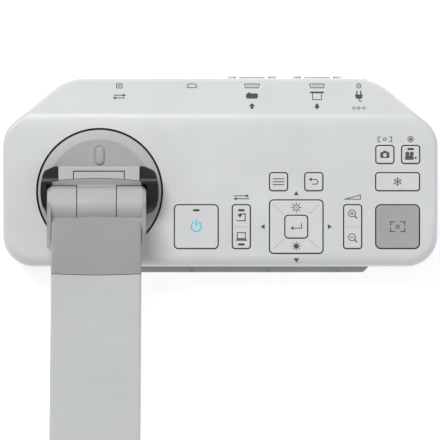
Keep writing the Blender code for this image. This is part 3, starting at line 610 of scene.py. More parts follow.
def toe_outline(inset, reach):
    """The lower case's plan: the toe flares into the front edge and has round corners."""
    ring = [(x, y) for x, y, _ in console_ring(lambda y: inset, lambda py, y: 0.0)]
    right = [(96.0, inset), (94.6, inset - 0.08), (93.2, inset - 0.5), (92.0, inset - 1.3)]
    right += [(90.6, inset - 0.62 * (inset + reach)), (89.4, -reach + 0.45)]
    right += [(88.2, -reach + 0.1), (87.0, -reach)]
    return ring + [(-x, y) for x, y in right] + [(x, y) for x, y in reversed(right)]


def bottom_case():
    """The lower case, with the notches of its toe, its vents and its screws."""
    # inset, reach of the toe and height of each ring, from the underside up
    steps = ((2.6, 1.9, 2.0), (1.5, 2.9, 2.5), (0.9, 3.5, 3.3), (0.8, 3.7, 4.2), (0.8, 3.7, 13.2))
    steps += ((0.9, 3.6, 13.5), (1.1, 3.4, SEAM_Z - GAP))
    rings = [flat_ring(toe_outline(inset, reach), z) for inset, reach, z in steps]
    case = mesh_object("case_shell", [rings], CONSOLE)
    plan = [(x, y) for x, y, _ in console_ring(lambda y: 3.2, lambda py, y: 0.0)]
    carve(case, [prism(plan, 4.6, 20)])
    notches = [slab(x - 0.4, x + 0.4, -4.2, -1.9, 10.5, 15) for x in (-61.0, -17.5, 29.7, 73.2)]
    slots = [rounded_rect(3.0, 26.0, 1.4, 4, cx=20 + 7 * i, cy=58) for i in range(7)]
    vents = [prism(slot, 0, 7) for slot in slots]
    wells = [prism(circle(3.6, 24, x, y), 0, 3.4) for x, y in CASE_SCREWS]
    carve(case, notches + vents + wells)
    dress(case, CASE, "base", "base_bottom_case", sharp=30)
    screw = turned([(3.0, 3.35), (3.0, 2.9), (2.6, 2.45), (1.0, 2.3)], 24)
    for i, (x, y) in enumerate(CASE_SCREWS):
        head = mesh_object(f"case_screw_{i}", [screw], CONSOLE @ shift(x, y, 0))
        carve(head, [slab(-2.0, 2.0, -0.35, 0.35, 2.0, 2.9)])
        carve(head, [slab(-0.35, 0.35, -2.0, 2.0, 2.0, 2.9)])
        dress(head, STEEL, "base")


def shift(x, y, z):
    return Matrix.Translation(Vector((x, y, z)) * MM)


def rubber_feet():
    for name in ("left_front", "right_front", "left_rear", "right_rear"):
        low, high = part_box(f"foot_{name}")
        place = Matrix.Translation(((low.x + high.x) / 2, (low.y + high.y) / 2, 0))
        profile = [(5.6, 0.35), (6.0, 0.0), (6.7, 0.0), (7.2, 0.25), (7.5, 0.8), (7.5, 1.7)]
        foot = mesh_object(f"{name}_foot_pad", [turned(profile, 48)], place)
        dress(foot, RUBBER, "base", f"foot_{name}")


def cap_rings(centred, bottom):
    rings = [flat_ring(key_plan(centred, -KEY_GAP), bottom)]
    for inset, drop in quarter(0.5, 5):
        rings.append(flat_ring(key_plan(centred, -KEY_GAP - inset), KEY_TOP - drop))
    rings.append(flat_ring(key_plan(centred, -KEY_GAP - 1.2), KEY_TOP - KEY_DISH))
    return rings


def paint_gap_shade(cap, flange_top):
    """Paints the flange and the key's lowest sides near black: painted shade, so that the gap round a key
    reads as a dark line.
    """
    cap.data.materials.append(GAP_PAINTED_SHADE)
    for face in cap.data.polygons:
        if face.center.z < (flange_top + 1.2) * MM:
            face.material_index = 1


def key_cap(node, key, flange_top, material, cut=None):
    """A key with a softly rounded, very slightly dished top on a wider flange."""
    x, y, *size = key
    centred = (0.0, 0.0, *size)
    rings = prism(key_plan(centred, FLANGE), KEY_FOOT, flange_top)
    cap = mesh_object(f"{node}_cap", [rings + cap_rings(centred, flange_top)], CONSOLE @ shift(x, y, 0))
    if cut:
        carve(cap, cut)
    dress(cap, material, node, node, sharp=60)
    paint_gap_shade(cap, flange_top)


def keys():
    for node, key in KEYS.items():
        key_cap(node, key, KEY_FLANGE_TOP, KEY_GREY if node == "focus_key" else KEY)
    for node, key in ROCKERS.items():
        key_cap(node, key, ROCKER_FLANGE_TOP, KEY)
    x, y, *size = ENTER
    key_cap("four_way_key", FOUR_WAY, FOUR_WAY_FLANGE_TOP, KEY, [prism(key_plan((0.0, 0.0, *size)), 40, 60)])
    top = cap_rings((0.0, 0.0, *size), ENTER_FLANGE_TOP)
    disc = circle(ENTER_FLANGE_RADIUS, len(top[0]))
    rings = prism(disc, ENTER_FLANGE_TOP - 1.0, ENTER_FLANGE_TOP) + top
    cap = mesh_object("enter_key_cap", [rings], CONSOLE @ shift(x, y, 0))
    dress(cap, KEY, "enter_key", "enter_key", sharp=60)


# ---- printed marks


def stroke(points, width):
    """Quads along a line of points."""
    half = width * LINE_WEIGHT / 2
    quads = []
    for (x0, y0), (x1, y1) in zip(points, points[1:]):
        length = math.hypot(x1 - x0, y1 - y0)
        dx, dy = (x1 - x0) / length * half, (y1 - y0) / length * half
        start = [(x0 - dx - dy, y0 - dy + dx), (x0 - dx + dy, y0 - dy - dx)]
        quads.append(start + [(x1 + dx + dy, y1 + dy - dx), (x1 + dx - dy, y1 + dy + dx)])
    return quads


def band(cx, cy, radius, width, start=0, stop=360, steps=28):
    """A ring or part of one, in quads."""
    width *= LINE_WEIGHT
    inner = arc(cx, cy, radius - width / 2, start, stop, steps)
    outer = arc(cx, cy, radius + width / 2, start, stop, steps)
    return [[inner[i], outer[i], outer[i + 1], inner[i + 1]] for i in range(steps)]


def frame_box(width, height, line, cy=0.0):
    """The outline of a rectangle."""
    x, y = width / 2, height / 2
    shapes = []
    for side in (-1, 1):
        shapes += stroke([(-x, cy + side * y), (x, cy + side * y)], line)
        shapes += stroke([(side * x, cy - y), (side * x, cy + y)], line)
    return shapes


def plate_with_hole(width, height, radius, steps=24):
    """A rectangular plate with a round hole, in quads."""
    quads = []
    for i in range(steps):
        pair = []
        for angle in (2 * math.pi * i / steps, 2 * math.pi * (i + 1) / steps):
            c, s = math.cos(angle), math.sin(angle)
            reach = min(width / 2 / max(abs(c), 1e-6), height / 2 / max(abs(s), 1e-6))
            pair.append([(radius * c, radius * s), (reach * c, reach * s)])
        quads.append([pair[0][0], pair[0][1], pair[1][1], pair[1][0]])
    return quads


def rect(cx, cy, width, height, radius=0.2):
    return rounded_rect(width, height, min(radius, width / 2.01, height / 2.01), 3, cx=cx, cy=cy)


def dot(cx, cy, radius, steps=20):
    return circle(radius, steps, cx, cy)


def led(cy):
    return rect(0, cy, 4.0, 1.3, 0.3)


def moved(polygons, x, y):
    return [[(x + px, y + py) for px, py in polygon] for polygon in polygons]


def scaled(polygons, factor):
    return [[(x * factor, y * factor) for x, y in polygon] for polygon in polygons]


def spun(polygons, degrees):
    c, s = math.cos(math.radians(degrees)), math.sin(math.radians(degrees))
    return [[(x * c - y * s, x * s + y * c) for x, y in polygon] for polygon in polygons]


def marks(name, polygons, material, body, centre=None):
    """Thin printed plates, drawn about a point of the cover or about the centre of a key."""
    def height(y):
        return top_z(y) if body == "base" else KEY_TOP - KEY_DISH

    mesh = bmesh.new()
    for polygon in moved(polygons, *(centre or KEY_CENTRES[body])):
        low = [mesh.verts.new(Vector((x, y, height(y) - INK_DEPTH)) * MM) for x, y in polygon]
        high = [mesh.verts.new(Vector((x, y, height(y) + INK_PROUD)) * MM) for x, y in polygon]
        mesh.faces.new(low)
        mesh.faces.new(high)
        for i in range(len(low)):
            j = (i + 1) % len(low)
            mesh.faces.new((low[i], low[j], high[j], high[i]))
    bmesh.ops.recalc_face_normals(mesh, faces=mesh.faces)
    dress(link_mesh(name, mesh, CONSOLE), material, body, sharp=20)


def sun(radius, rays, filled):
    shapes = [dot(0, 0, radius)] if filled else band(0, 0, radius, 0.35) + [dot(0, 0, 0.35, 10)]
    for i in range(8):
        shapes += spun(stroke([(radius + 0.45, 0), (rays, 0)], 0.35), 45 * i)
    return shapes


def magnifier(plus):
    shapes = band(0, 0, 2.15, 0.42) + stroke([(1.6, -1.6), (3.0, -3.0)], 0.6)
    shapes += stroke([(-1.0, 0), (1.0, 0)], 0.38)
    if plus:
        shapes += stroke([(0, -1.0), (0, -0.2)], 0.38) + stroke([(0, 0.2), (0, 1.0)], 0.38)
    return shapes


def arrow(size, degrees):
    """A block arrow that points up when degrees is 0."""
    half, tail = size * 0.45, -size * 0.8
    shaft = [(-half, tail), (half, tail), (half, 0), (-half, 0)]
    return spun([[(-size, 0), (size, 0), (0, size)], shaft], degrees)


def opposed_arrows(tail, end, tip, rise, half):
    """Two level arrows, one above the other, that point opposite ways."""
    neck = tip - 2 * half
    shapes = []
    for side, y in ((1, rise), (-1, -rise - 0.1)):
        shapes += stroke([(-side * tail, y), (side * end, y)], 0.45)
        shapes.append([(side * tip, y), (side * neck, y + half), (side * neck, y - half)])
    return shapes


def focus_frame():
    """Four corners round a ring."""
    shapes = []
    for sx in (-1, 1):
        for sy in (-1, 1):
            shapes += stroke([(sx * 4.4, sy), (sx * 4.4, sy * 3.0), (sx * 2.0, sy * 3.0)], 0.5)
    return shapes + band(0, 0, 1.0, 0.45)


def snowflake():
    shapes = []
    for degrees in (30, 90, 150):
        shapes += spun(stroke([(-2.4, 0), (2.4, 0)], 0.38), degrees)
    along, across = 1.5 + 0.8 * math.cos(math.radians(50)), 0.8 * math.sin(math.radians(50))
    fork = stroke([(1.5, 0), (along, -across)], 0.3) + stroke([(1.5, 0), (along, across)], 0.3)
    for degrees in range(30, 390, 60):
        shapes += spun(fork, degrees)
    return shapes


def key_marks():
    """Symbols and indicator windows on the keys."""
    marks("power_led", [led(LED_RISE)], LED, "power_key")
    power = band(0, 0.2, 3.1, 0.75, 118, 422) + stroke([(0, 0.9), (0, 4.2)], 0.75)
    marks("power_symbol", power, CYAN_INK, "power_key")

    divider = stroke([(-4.2, -0.1), (4.2, -0.1)], 0.25)
    marks("source_leds", [led(LED_RISE), led(-11.0)], LED, "source_rocker")
    stand = stroke([(-0.6, 7.9), (2.4, 7.9), (2.4, 3.7), (-2.6, 3.7)], 0.5)
    stand += [rect(-0.9, 7.2, 2.2, 1.5, 0.3), [(-1.6, 6.5), (-0.2, 6.5), (-0.9, 5.7)]]
    laptop = frame_box(5.0, 3.6, 0.45, -5.5) + [[(-3.7, -8.7), (3.7, -8.7), (2.9, -7.7), (-2.9, -7.7)]]
    marks("source_symbols", stand + laptop, INK, "source_rocker")
    marks("source_divider", divider, PALE_INK, "source_rocker")
    glasses = moved(magnifier(True), -0.4, 8.3) + moved(magnifier(False), -0.4, -6.5)
    marks("zoom_symbols", glasses, INK, "zoom_rocker")
    marks("zoom_divider", divider, PALE_INK, "zoom_rocker")

    suns = moved(sun(1.55, 3.1, False), 0, 11.9) + moved(sun(1.6, 2.7, True), 0, -12.1)
    marks("brightness_symbols", suns, INK, "four_way_key")
    diagonals = []
    for sx in (-1, 1):
        for sy in (-1, 1):
            diagonals += stroke([(sx * 7.9, sy * 7.9), (sx * 14.2, sy * 13.6)], 0.25)
    marks("four_way_lines", diagonals, PALE_INK, "four_way_key")
    enter = stroke([(3.2, 1.9), (3.2, -0.9), (-2.4, -0.9)], 0.45)
    marks("enter_symbol", enter + [[(-3.6, -0.9), (-1.8, 0.3), (-1.8, -2.1)]], INK, "enter_key")

    marks("menu_symbol", [rect(0, y, 7.4, 0.6) for y in (-1.8, 0.0, 1.8)], INK, "menu_key")
    back = band(1.0, 0, 1.45, 0.45, -90, 90, 14) + stroke([(1.0, 1.45), (-1.6, 1.45)], 0.45)
    back += stroke([(1.0, -1.45), (-0.8, -1.45)], 0.45) + [[(-3.2, 1.45), (-1.4, 2.7), (-1.4, 0.2)]]
    marks("escape_symbol", back, INK, "escape_key")
    marks("focus_symbol", focus_frame(), INK, "focus_key")
    marks("freeze_symbol", snowflake(), INK, "freeze_key")

    photo_camera = plate_with_hole(3.4, 3.6, 1.15)
    photo_camera += [rect(-2.25, 0, 1.15, 3.6, 0.3), rect(2.25, 0, 1.15, 3.6, 0.3)]
    photo_camera.append([(-1.5, 1.75), (1.5, 1.75), (0.9, 2.6), (-0.9, 2.6)])
    marks("capture_symbol", moved(photo_camera, 0, -0.3), INK, "capture_key")
    marks("record_led", [led(3.4)], LED, "record_key")
    camcorder = [rect(-0.7, -0.9, 4.4, 2.0, 0.25), dot(-1.75, 1.25, 1.1), dot(0.55, 1.25, 1.1)]
    camcorder += [rect(-0.6, 0.15, 2.8, 0.3, 0.05), [(1.6, -0.9), (3.0, 0.0), (3.0, -1.8)]]
    marks("record_symbol", moved(scaled(camcorder, 1.2), 0, -1.0), INK, "record_key")


def cover_marks():
    """Marks printed on the cover round the keys and above the rear sockets."""
    triangles = []
    for degrees in (0, 90, 180, 270):
        triangles += spun([[(-1.6, 19.6), (1.6, 19.6), (0, 22.2)]], degrees)
    marks("direction_triangles", triangles, INK, "base", KEY_CENTRES["four_way_key"])
    swap = opposed_arrows(4.6, 3.0, 5.0, 0.85, 1.05)
    wedge = stroke([(-4.8, -1.2), (4.8, -1.2), (4.8, 1.3), (-4.8, -1.2)], 0.4)
    target = []
    for side in (-1, 1):
        bracket = [(2.8, 1.4), (4.2, 1.4), (4.2, -1.4), (2.8, -1.4)]
        target += stroke([(side * x, y) for x, y in bracket], 0.4)
    target += band(0, 0, 0.9, 0.4)
    ring = band(0, 0, 1.7, 0.4) + [dot(0, 0, 0.95)]
    labels = (("source_label", swap, "source_rocker", LABEL_Y), ("zoom_label", wedge, "zoom_rocker", LABEL_Y),
              ("capture_label", target, "capture_key", TOP_LABEL_Y),
              ("record_label", ring, "record_key", TOP_LABEL_Y))
    for name, shapes, key, y in labels:
        marks(name, shapes, INK, "base", (KEY_CENTRES[key][0], y))

    projector = [rect(0, 0, 7.4, 3.3, 1.0), dot(-1.8, 1.3, 1.0, 12)]
    screen = frame_box(5.6, 4.2, 0.4, -0.2) + stroke([(-3.9, 2.3), (3.9, 2.3)], 0.8)
    plug = [[(-2.1, 0.8), (2.1, 0.8), (1.5, -1.4), (-1.5, -1.4)]]
    plug += stroke([(-1.0, 0.8), (-1.0, 2.4)], 0.55) + stroke([(1.0, 0.8), (1.0, 2.4)], 0.55)
    plug += stroke([(0, -1.4), (0.2, -2.4), (1.3, -2.9)], 0.4)
    polarity = band(-3.2, 0, 0.75, 0.3, steps=14) + band(3.2, 0, 0.75, 0.3, steps=14)
    polarity += band(0, 0, 0.85, 0.3, 40, 320, 12) + [dot(0, 0, 0.32, 10)]
    polarity += stroke([(-2.3, 0), (-1.0, 0)], 0.25) + stroke([(0.3, 0), (2.3, 0)], 0.25)
    icons = moved(opposed_arrows(3.2, 2.4, 4.2, 0.8, 1.0), USB[0], SYMBOL_Y - 0.3)
    for shapes, socket, y in ((projector, VGA_OUT, SYMBOL_Y), (arrow(2.0, 0), VGA_OUT, ARROW_Y),
                              (screen, VGA_IN, SYMBOL_Y), (arrow(2.0, 180), VGA_IN, ARROW_Y),
                              (scaled(plug, 1.2), POWER_JACK, SYMBOL_Y), (polarity, POWER_JACK, POLARITY_Y)):
        icons += moved(shapes, socket[0], y)
    marks("socket_symbols", icons, INK, "base", (0, 0))

    mouth = [(-2.8, -1.1), (2.8, -1.1), (2.8, 0.3), (1.7, 1.2), (-1.7, 1.2), (-2.8, 0.3), (-2.8, -1.1)]
    shell = stroke([(-4.6, 1.2), (4.6, 1.2), (3.9, -1.2), (-3.9, -1.2), (-4.6, 1.2)], 0.4)
    shell += [dot(x, y, 0.28, 8) for y in (-0.45, 0.45) for x in (-2.6, -1.3, 0.0, 1.3, 2.6)]
    outlines = ((frame_box(3.4, 2.6, 0.4) + [rect(0, 0, 1.6, 0.8)], USB), (stroke(mouth, 0.4), HDMI),
                (shell, VGA_OUT), (shell, VGA_IN), (band(0, 0, 1.35, 0.4) + [dot(0, 0, 0.5, 12)], POWER_JACK))
    labels = []
    for shapes, socket in outlines:
        labels += moved(shapes, socket[0], SOCKET_LABEL_Y)
    marks("socket_labels", labels, INK, "base", (0, 0))


# ---- rear sockets


def socket_inserts():
    """The dark insides of the sockets: inserts with three rows of contact holes, and the tongues' tips."""
    for name, (x, z) in (("vga_out_port", VGA_OUT), ("vga_in_port", VGA_IN)):
        insert = [(x + dx, z + dz) for dx, dz in ((7.4, 3.3), (-7.4, 3.3), (-6.2, -3.3), (6.2, -3.3))]
        block = mesh_object(f"{name}_insert", [y_prism(insert, 117.7, 117.95)], CONSOLE)
        holes = []
        for row in range(3):
            for i in range(5):
                middle = x - 4.6 + 2.3 * i + (0.55 if row == 1 else 0)
                holes.append(y_prism(circle(0.5, 10, middle, z + 2.0 - 2.0 * row), 117.75, 118.4))
        carve(block, holes)
        dress(block, CONTACT, "base")
    for name, (x, z), width, height in (("usb", USB, 5.2, 2.6), ("hdmi", HDMI, 9.8, 0.7)):
        tongue = y_prism(rounded_rect(width, height, 0.25, 2, cx=x, cy=z), 112.0, 112.35)
        dress(mesh_object(f"{name}_tongue_tip", [tongue], CONSOLE), CONTACT, "base")


# ---- turntable and shoulder


def turret_plate():
    """The round plate: a rim that slopes outwards, a sunken middle and a raised pointer."""
    profile = [(30.0, 46.4), (30.0, 40.9), (34.0, 40.9), (34.0, 45.8), (TURRET_RADIUS, 45.8)]
    profile += [(TURRET_RADIUS - inset, RIM_EDGE_Z - drop) for inset, drop in quarter(0.7, 5)]
    step = RECESS_RADIUS + 0.6
    profile += [(step + 0.3, TURRET_TOP - 0.2), (step, TURRET_TOP - 0.22), (step - 0.2, TURRET_TOP - 0.3)]
    profile += [(step - 0.6, RECESS_FLOOR + 0.05), (step - 0.9, RECESS_FLOOR)]
    disc = mesh_object("turret_plate", [turned(profile, 144)], TURRET)
    width, length, radius = POINTER
    pill = []
    for inset, drop in ((0.0, 2.6), (0.0, 1.1), (0.3, 0.62), (0.8, 0.28), (1.4, 0.07), (2.0, 0.0)):
        plan = rounded_rect(width - 2 * inset, length - 2 * inset, radius - inset, 8, cy=POINTER_Y)
        pill.append(flat_ring(plan, POINTER_TOP - drop))
    groove = rounded_rect(width + 0.8, length + 0.8, radius + 0.4, 8, cy=POINTER_Y)
    carve(disc, [prism(groove, RECESS_FLOOR - 0.7, RECESS_FLOOR + 2)])
    join(disc, pill)
    dress(disc, HOUSING, "turret", "turret_disc", sharp=40)
    disc.data.materials.append(RECESS)
    # The plate's outer side, seen down the gap round the turntable, gets painted shade.
    disc.data.materials.append(GAP_PAINTED_SHADE)
    for face in disc.data.polygons:
        reach = face.center.xy.length / MM
        if reach < RECESS_RADIUS - 0.4 and face.center.z > (RECESS_FLOOR - 0.02) * MM:
            face.material_index = 1
        elif reach > TURRET_RADIUS - 0.05:
            face.material_index = 2


def rounded_path(points, cut, steps=8):
    """A line of points whose inner corners are rounded, each cut back by cut."""
    path = [points[0]]
    for before, corner, after in zip(points, points[1:], points[2:]):
        start, middle, stop = Vector(before), Vector(corner), Vector(after)
        start = middle + (start - middle).normalized() * cut
        stop = middle + (stop - middle).normalized() * cut
        for i in range(steps + 1):
            t = i / steps
            path.append(tuple(start * (1 - t) ** 2 + middle * 2 * t * (1 - t) + stop * t ** 2))
    return path + [points[-1]]


def visor_back(x):
    return VISOR_BACK - VISOR_BOW * (x / VISOR_HALF) ** 2


def centre_knuckle():
    """The fixed middle of the shoulder barrel, with the bowed visor that slopes down to it."""
    knuckle = mesh_object("shoulder_knuckle", [soft_barrel(KNUCKLE_HALF, BARREL, 0.3, 96)], HINGE)
    visor = []
    for i in range(49):
        x = VISOR_HALF * (i - 24) / 24
        rear = visor_back(x)
        section = [(VISOR_FRONT, -9.0), (rear, -9.0), (rear, HOUSING_TOP - 0.3), (rear - 0.3, HOUSING_TOP)]
        visor.append(x_ring(x, section + [(VISOR_FRONT, VISOR_FRONT_TOP)]))
    inner = KNUCKLE_HALF - 0.02
    foot = slab(-inner, inner, -7.0, VISOR_FRONT + 0.6, HOUSING_FLOOR, -2.0)
    bridge = slab(-inner, inner, 12.0, VISOR_FRONT + 0.3, -4.0, VISOR_FRONT_TOP + 0.35)
    join(knuckle, foot, bridge, visor)
    dress(knuckle, HINGE_PLASTIC, "turret", "hinge_centre_knuckle", sharp=30)


def shoulder_washers():
    """Black friction washers in the two seams of the shoulder barrel."""
    profile = [(0.06, 12.3), (0.12, 12.4), (0.4, 12.4), (0.46, 12.3)]
    for name, side in (("left", -1), ("right", 1)):
        rings = barrel([(side * (KNUCKLE_HALF + x), radius) for x, radius in profile], 96)
        washer = mesh_object(f"shoulder_washer_{name}", [rings], HINGE)
        bore(washer, SHOULDER_BORE)
        dress(washer, CONTACT, "turret")


def housing():
    """The block behind the visor and the release tab in its window."""
    left, right = HOUSING_SIDES
    rear = HOUSING_REAR
    rings = []
    for i in range(33):
        x = left + (right - left) * i / 32
        front = visor_back(x) + GAP
        section = [(front, HOUSING_FLOOR), (rear, HOUSING_FLOOR), (rear, HOUSING_TOP - 0.7)]
        section += [(rear - 0.2, HOUSING_TOP - 0.2), (rear - 0.7, HOUSING_TOP), (front, HOUSING_TOP)]
        rings.append(x_ring(x, section))
    block = mesh_object("shoulder_housing", [rings], HINGE)
    left, right = TAB_SIDES
    carve(block, [slab(left - TAB_CLEAR, right + TAB_CLEAR, 16.0, TAB_REAR + 0.6, -3.0, 8.0)])
    round_edges(block, 0.12, 2)
    dress(block, HOUSING, "turret", "hinge_housing")
    rings = []
    for i in range(25):
        x = left + (right - left) * i / 24
        front, top = visor_back(x) + GAP, HOUSING_TOP - 0.25
        rings.append(x_ring(x, [(front, 0.0), (TAB_REAR, 0.0), (TAB_REAR, top), (front, top)]))
    tab = mesh_object("release_tab_cap", [rings], HINGE)
    round_edges(tab, 0.12, 2)
    dress(tab, HOUSING, "release_tab", "release_tab")


def side_caps():
    """The two black covers beside the shoulder: they follow the turntable and lean in towards a ridge."""
    offset = (shoulder_at.x - swivel_at.x) / MM
    axis = (shoulder_at.y - swivel_at.y) / MM
    for name, side in (("hinge_cap_left", -1), ("hinge_cap_right", 1)):
        yoke_face = offset + side * (YOKE_HALF + 0.5)
        visor_end = offset + side * (VISOR_HALF + 0.4)
        housing_face = offset + (HOUSING_SIDES[1] + GAP if side > 0 else HOUSING_SIDES[0] - GAP)
        start, stop = (-14, 18) if side > 0 else (194, 162)
        outline = [(side * 33.4, -12.4)] + arc(0, 0, CAP_RADIUS, start, stop, 28)
        outline += [(side * 33.6, 13.0), (side * 27.8, 15.6)]
        outline += [(housing_face, 15.6), (housing_face, axis + 16.6), (visor_end, axis + 16.2)]
        outline += [(visor_end, axis + 13.9), (yoke_face, axis + 13.9), (yoke_face, -14.0)]
        cap = mesh_object(f"{name}_shell", [prism(outline, TURRET_TOP + GAP, 76.0)], TURRET)
        ridge = [(20.0, 59.0), (15.6, 65.0), (7.2, CAP_RIDGE), (-4.0, CAP_RIDGE - 2.2), (-10.0, 66.0)]
        ridge.append((-14.0, 60.0))
        section = [(-20, 40), (20, 40)] + rounded_path(ridge, 2.8) + [(-20, 50)]
        carve(cap, [[x_ring(-60, section), x_ring(60, section)]], "INTERSECT")
        round_edges(cap, 0.8, 5, 25)
        dress(cap, BLACK, "turret", name, sharp=50)


# ---- arm


def bow(x, depth):
    return depth * (x / ARM_HALF) ** 2


def ear_outline(slant, ease=0.0):
    """An ear in Y and Z: its end is drawn back by slant and its edges by ease."""
    tip = -EAR_END + slant
    top = [(0, 10.4 - ease), (tip + 4.5, 6.5 - ease), (tip + 1.2, 5.3 - ease), (tip, 3.0 - ease)]
    return top + [(tip, -5.0 + ease), (tip + 1.2, -7.2 + ease), (tip + 4.5, -8.0 + ease), (0, -10.4 + ease)]


def yoke():
    """The two outer barrels of the shoulder with the ears that clasp the collar."""
    end = YOKE_HALF
    half = [(0.0, 10.7), (0.3, 11.2), (2.2, 12.75), (2.6, 13.0), (3.1, BARREL)]
    stations = [(-end + along, radius) for along, radius in half]
    stations += [(-x, radius) for x, radius in reversed(stations)]
    thing = mesh_object("shoulder_yoke", [barrel(stations, 96)], LOWER)
    ears = []
    for side in (-1, 1):
        rings = [x_ring(side * 28.25, ear_outline(0.0)), x_ring(side * 29.0, ear_outline(1.0))]
        rings += [x_ring(side * (end - 0.25), ear_outline(3.8)), x_ring(side * end, ear_outline(4.6, 0.35))]
        ears.append(rings)
    carve(thing, ears, "UNION")
    neck = [(NECK_HALF, -8.0), (-NECK_HALF, -8.0)]
    for i in range(25):
        x = NECK_HALF * (i - 12) / 12
        neck.append((x, -19.5 - bow(x, COLLAR_NEAR_BOW)))
    join(thing, slab(-25.2, 25.2, -44, -8, -5.5, 2.0), prism(neck, *NECK_Z))
    bore(thing, BARREL + 0.6, KNUCKLE_HALF + 0.5, 96)
    bore(thing, SHOULDER_BORE)
    round_edges(thing, 0.12, 2, 50)
    dress(thing, HINGE_PLASTIC, "lower_arm", "arm_yoke", sharp=30)
    # The ears' outer faces get the darker copy of the hinge plastic: painted shade.
    thing.data.materials.append(EAR_PAINTED_SHADE)
    for face in thing.data.polygons:
        x, y = abs(face.center.x) / MM, face.center.y / MM
        if x > 28.26 and y < -9.0 and face.center.yz.length / MM > BARREL + 0.1:
            face.material_index = 1


def collar():
    """The grey collar round the root of the arm, with bowed, rounded ends."""
    near = [(0.7, 0.0), (0.3, 0.1), (0.08, 0.3), (0.0, 0.7)]
    far = ((0.0, 0.7), (0.1, 0.3), (0.3, 0.15))

    def section(inset, radius):
        return rounded_rect(2 * (ARM_HALF - inset), 2 * (ARM_THICK - inset), radius, 8, split=24)

    def bent(outline, start, depth):
        return [(x, bow(x, depth) - start, z) for x, z in outline]

    inner = section(ARM_WALL, 1.0)
    rings = []
    for inset, along in near:
        outline = section(inset, ARM_CORNER - inset)
        rings.append(bent(outline, COLLAR_NEAR + along, -COLLAR_NEAR_BOW))
    for inset, along in far:
        rings.append(bent(section(inset, ARM_CORNER - inset), COLLAR_FAR - along, COLLAR_FAR_BOW))
    rings.append(bent(inner, COLLAR_FAR - 1.5, COLLAR_FAR_BOW))
    rings.append(bent(inner, COLLAR_NEAR, -COLLAR_NEAR_BOW))
    thing = mesh_object("arm_collar_shell", [rings], LOWER, closed=True)
    dress(thing, COLLAR, "lower_arm", "arm_collar", sharp=50)


def channel(half_width, edge_z, face_z, wall, radius, steps=8, split=24):
    """The U section of a half shell in X and Z."""
    sign = 1 if face_z > edge_z else -1

    def path(w, face, r):
        corner = [(x, face - sign * (r - z)) for x, z in arc(w - r, 0, r, 0, 90, steps)]
        points = [(-w, edge_z)] + [(-x, z) for x, z in corner]
        points += [(-(w - r) + 2 * (w - r) * i / split, face) for i in range(1, split)]
        return points + list(reversed(corner)) + [(w, edge_z)]

    inside = path(half_width - wall, face_z - sign * wall, max(radius - wall, 0.5))
    return path(half_width, face_z, radius) + list(reversed(inside))


def half_shell(name, node, section, start, stop, place, body, bowed=0.0):
    rings = [[(x, -start + bow(x, bowed), z) for x, z in section], [(x, -stop, z) for x, z in section]]
    thing = mesh_object(name, [rings], place, ladder=True)
    round_edges(thing, 0.12, 2, 50)
    dress(thing, ARM, body, node, sharp=40)


def shells():
    """The upper and lower halves of both arms."""
    for name, node, edge, face in (("lower_arm_top", "lower_arm_shell", ARM_SEAM, ARM_THICK),
                                   ("lower_arm_under", "lower_arm_cover", ARM_SEAM - GAP, -ARM_THICK)):
        section = channel(ARM_HALF, edge, face, ARM_WALL, ARM_CORNER)
        start, stop = COLLAR_FAR + 0.7, LOWER_LENGTH - ELBOW_CLEAR
        half_shell(name, node, section, start, stop, LOWER, "lower_arm", COLLAR_FAR_BOW)
    for name, node, edge, face in (("upper_arm_top", "upper_arm_shell", UPPER_SEAM, UPPER_THICK),
                                   ("upper_arm_under", "upper_arm_cover", UPPER_SEAM - GAP, -UPPER_THICK)):
        section = channel(UPPER_HALF, edge, face, UPPER_WALL, UPPER_CORNER)
        half_shell(name, node, section, ELBOW_CLEAR, UPPER_LENGTH - UPPER_END, UPPER, "upper_arm")


def elbow_and_wrist():
    """The fork and knuckle of the elbow, and the barrel at the head's end."""
    clear = ELBOW_CLEAR - GAP
    fork_half = ELBOW_KNUCKLE_HALF + 0.5
    fork = mesh_object("elbow_fork_shell", [soft_barrel(ARM_HALF, ELBOW_BARREL, 0.8, 96)], FORK)
    root = slab(-ARM_HALF + 0.02, ARM_HALF - 0.02, 0, clear, -8.5, 8.5)
    join(fork, root, slab(-24, 24, 15, 44, -5.5, 2.0))
    bore(fork, ELBOW_BARREL + 1.8, fork_half, 96)
    carve(fork, [slab(-fork_half, fork_half, -2, 18.0, -14, -6.0)])
    bore(fork, ELBOW_BORE)
    round_edges(fork, 0.3, 2, 50)
    dress(fork, ARM, "lower_arm", "elbow_fork", sharp=30)

    rings = soft_barrel(ELBOW_KNUCKLE_HALF, ELBOW_BARREL, 0.4, 96)
    knuckle = mesh_object("elbow_knuckle_shell", [rings], UPPER)
    inner = ELBOW_KNUCKLE_HALF - 0.02
    join(knuckle, slab(-inner, inner, -clear, 0, -5.5, 5.5), slab(-19, 19, -44, -18, -4.5, 1.5),
         slab(-20.6, 20.6, -21.2, -19.2, -4.6, 4.6))
    bore(knuckle, ELBOW_BORE)
    round_edges(knuckle, 0.3, 2, 50)
    dress(knuckle, HINGE_PLASTIC, "upper_arm", "elbow_knuckle", sharp=30)

    end = mesh_object("wrist_barrel_shell", [soft_barrel(WRIST_HALF, HEAD_BARREL, 0.4, 80)], TIP)
    inner = WRIST_HALF - 0.02
    join(end, slab(-inner, inner, 0, UPPER_END - GAP, -5, 5), slab(-18, 18, 14, 40, -4.5, 1.5),
         slab(-20.6, 20.6, 15.2, 16.8, -4.6, 4.6))
    bore(end, HEAD_BORE, steps=32)
    round_edges(end, 0.3, 2, 50)
    dress(end, HINGE_PLASTIC, "upper_arm", "head_hinge_barrel", sharp=30)


# ---- camera head


def head_plan(inset):
    width, length, radius = HEAD_SIZE
    return rounded_rect(width - 2 * inset, length - 2 * inset, radius - inset, 12, cy=HEAD_Y)


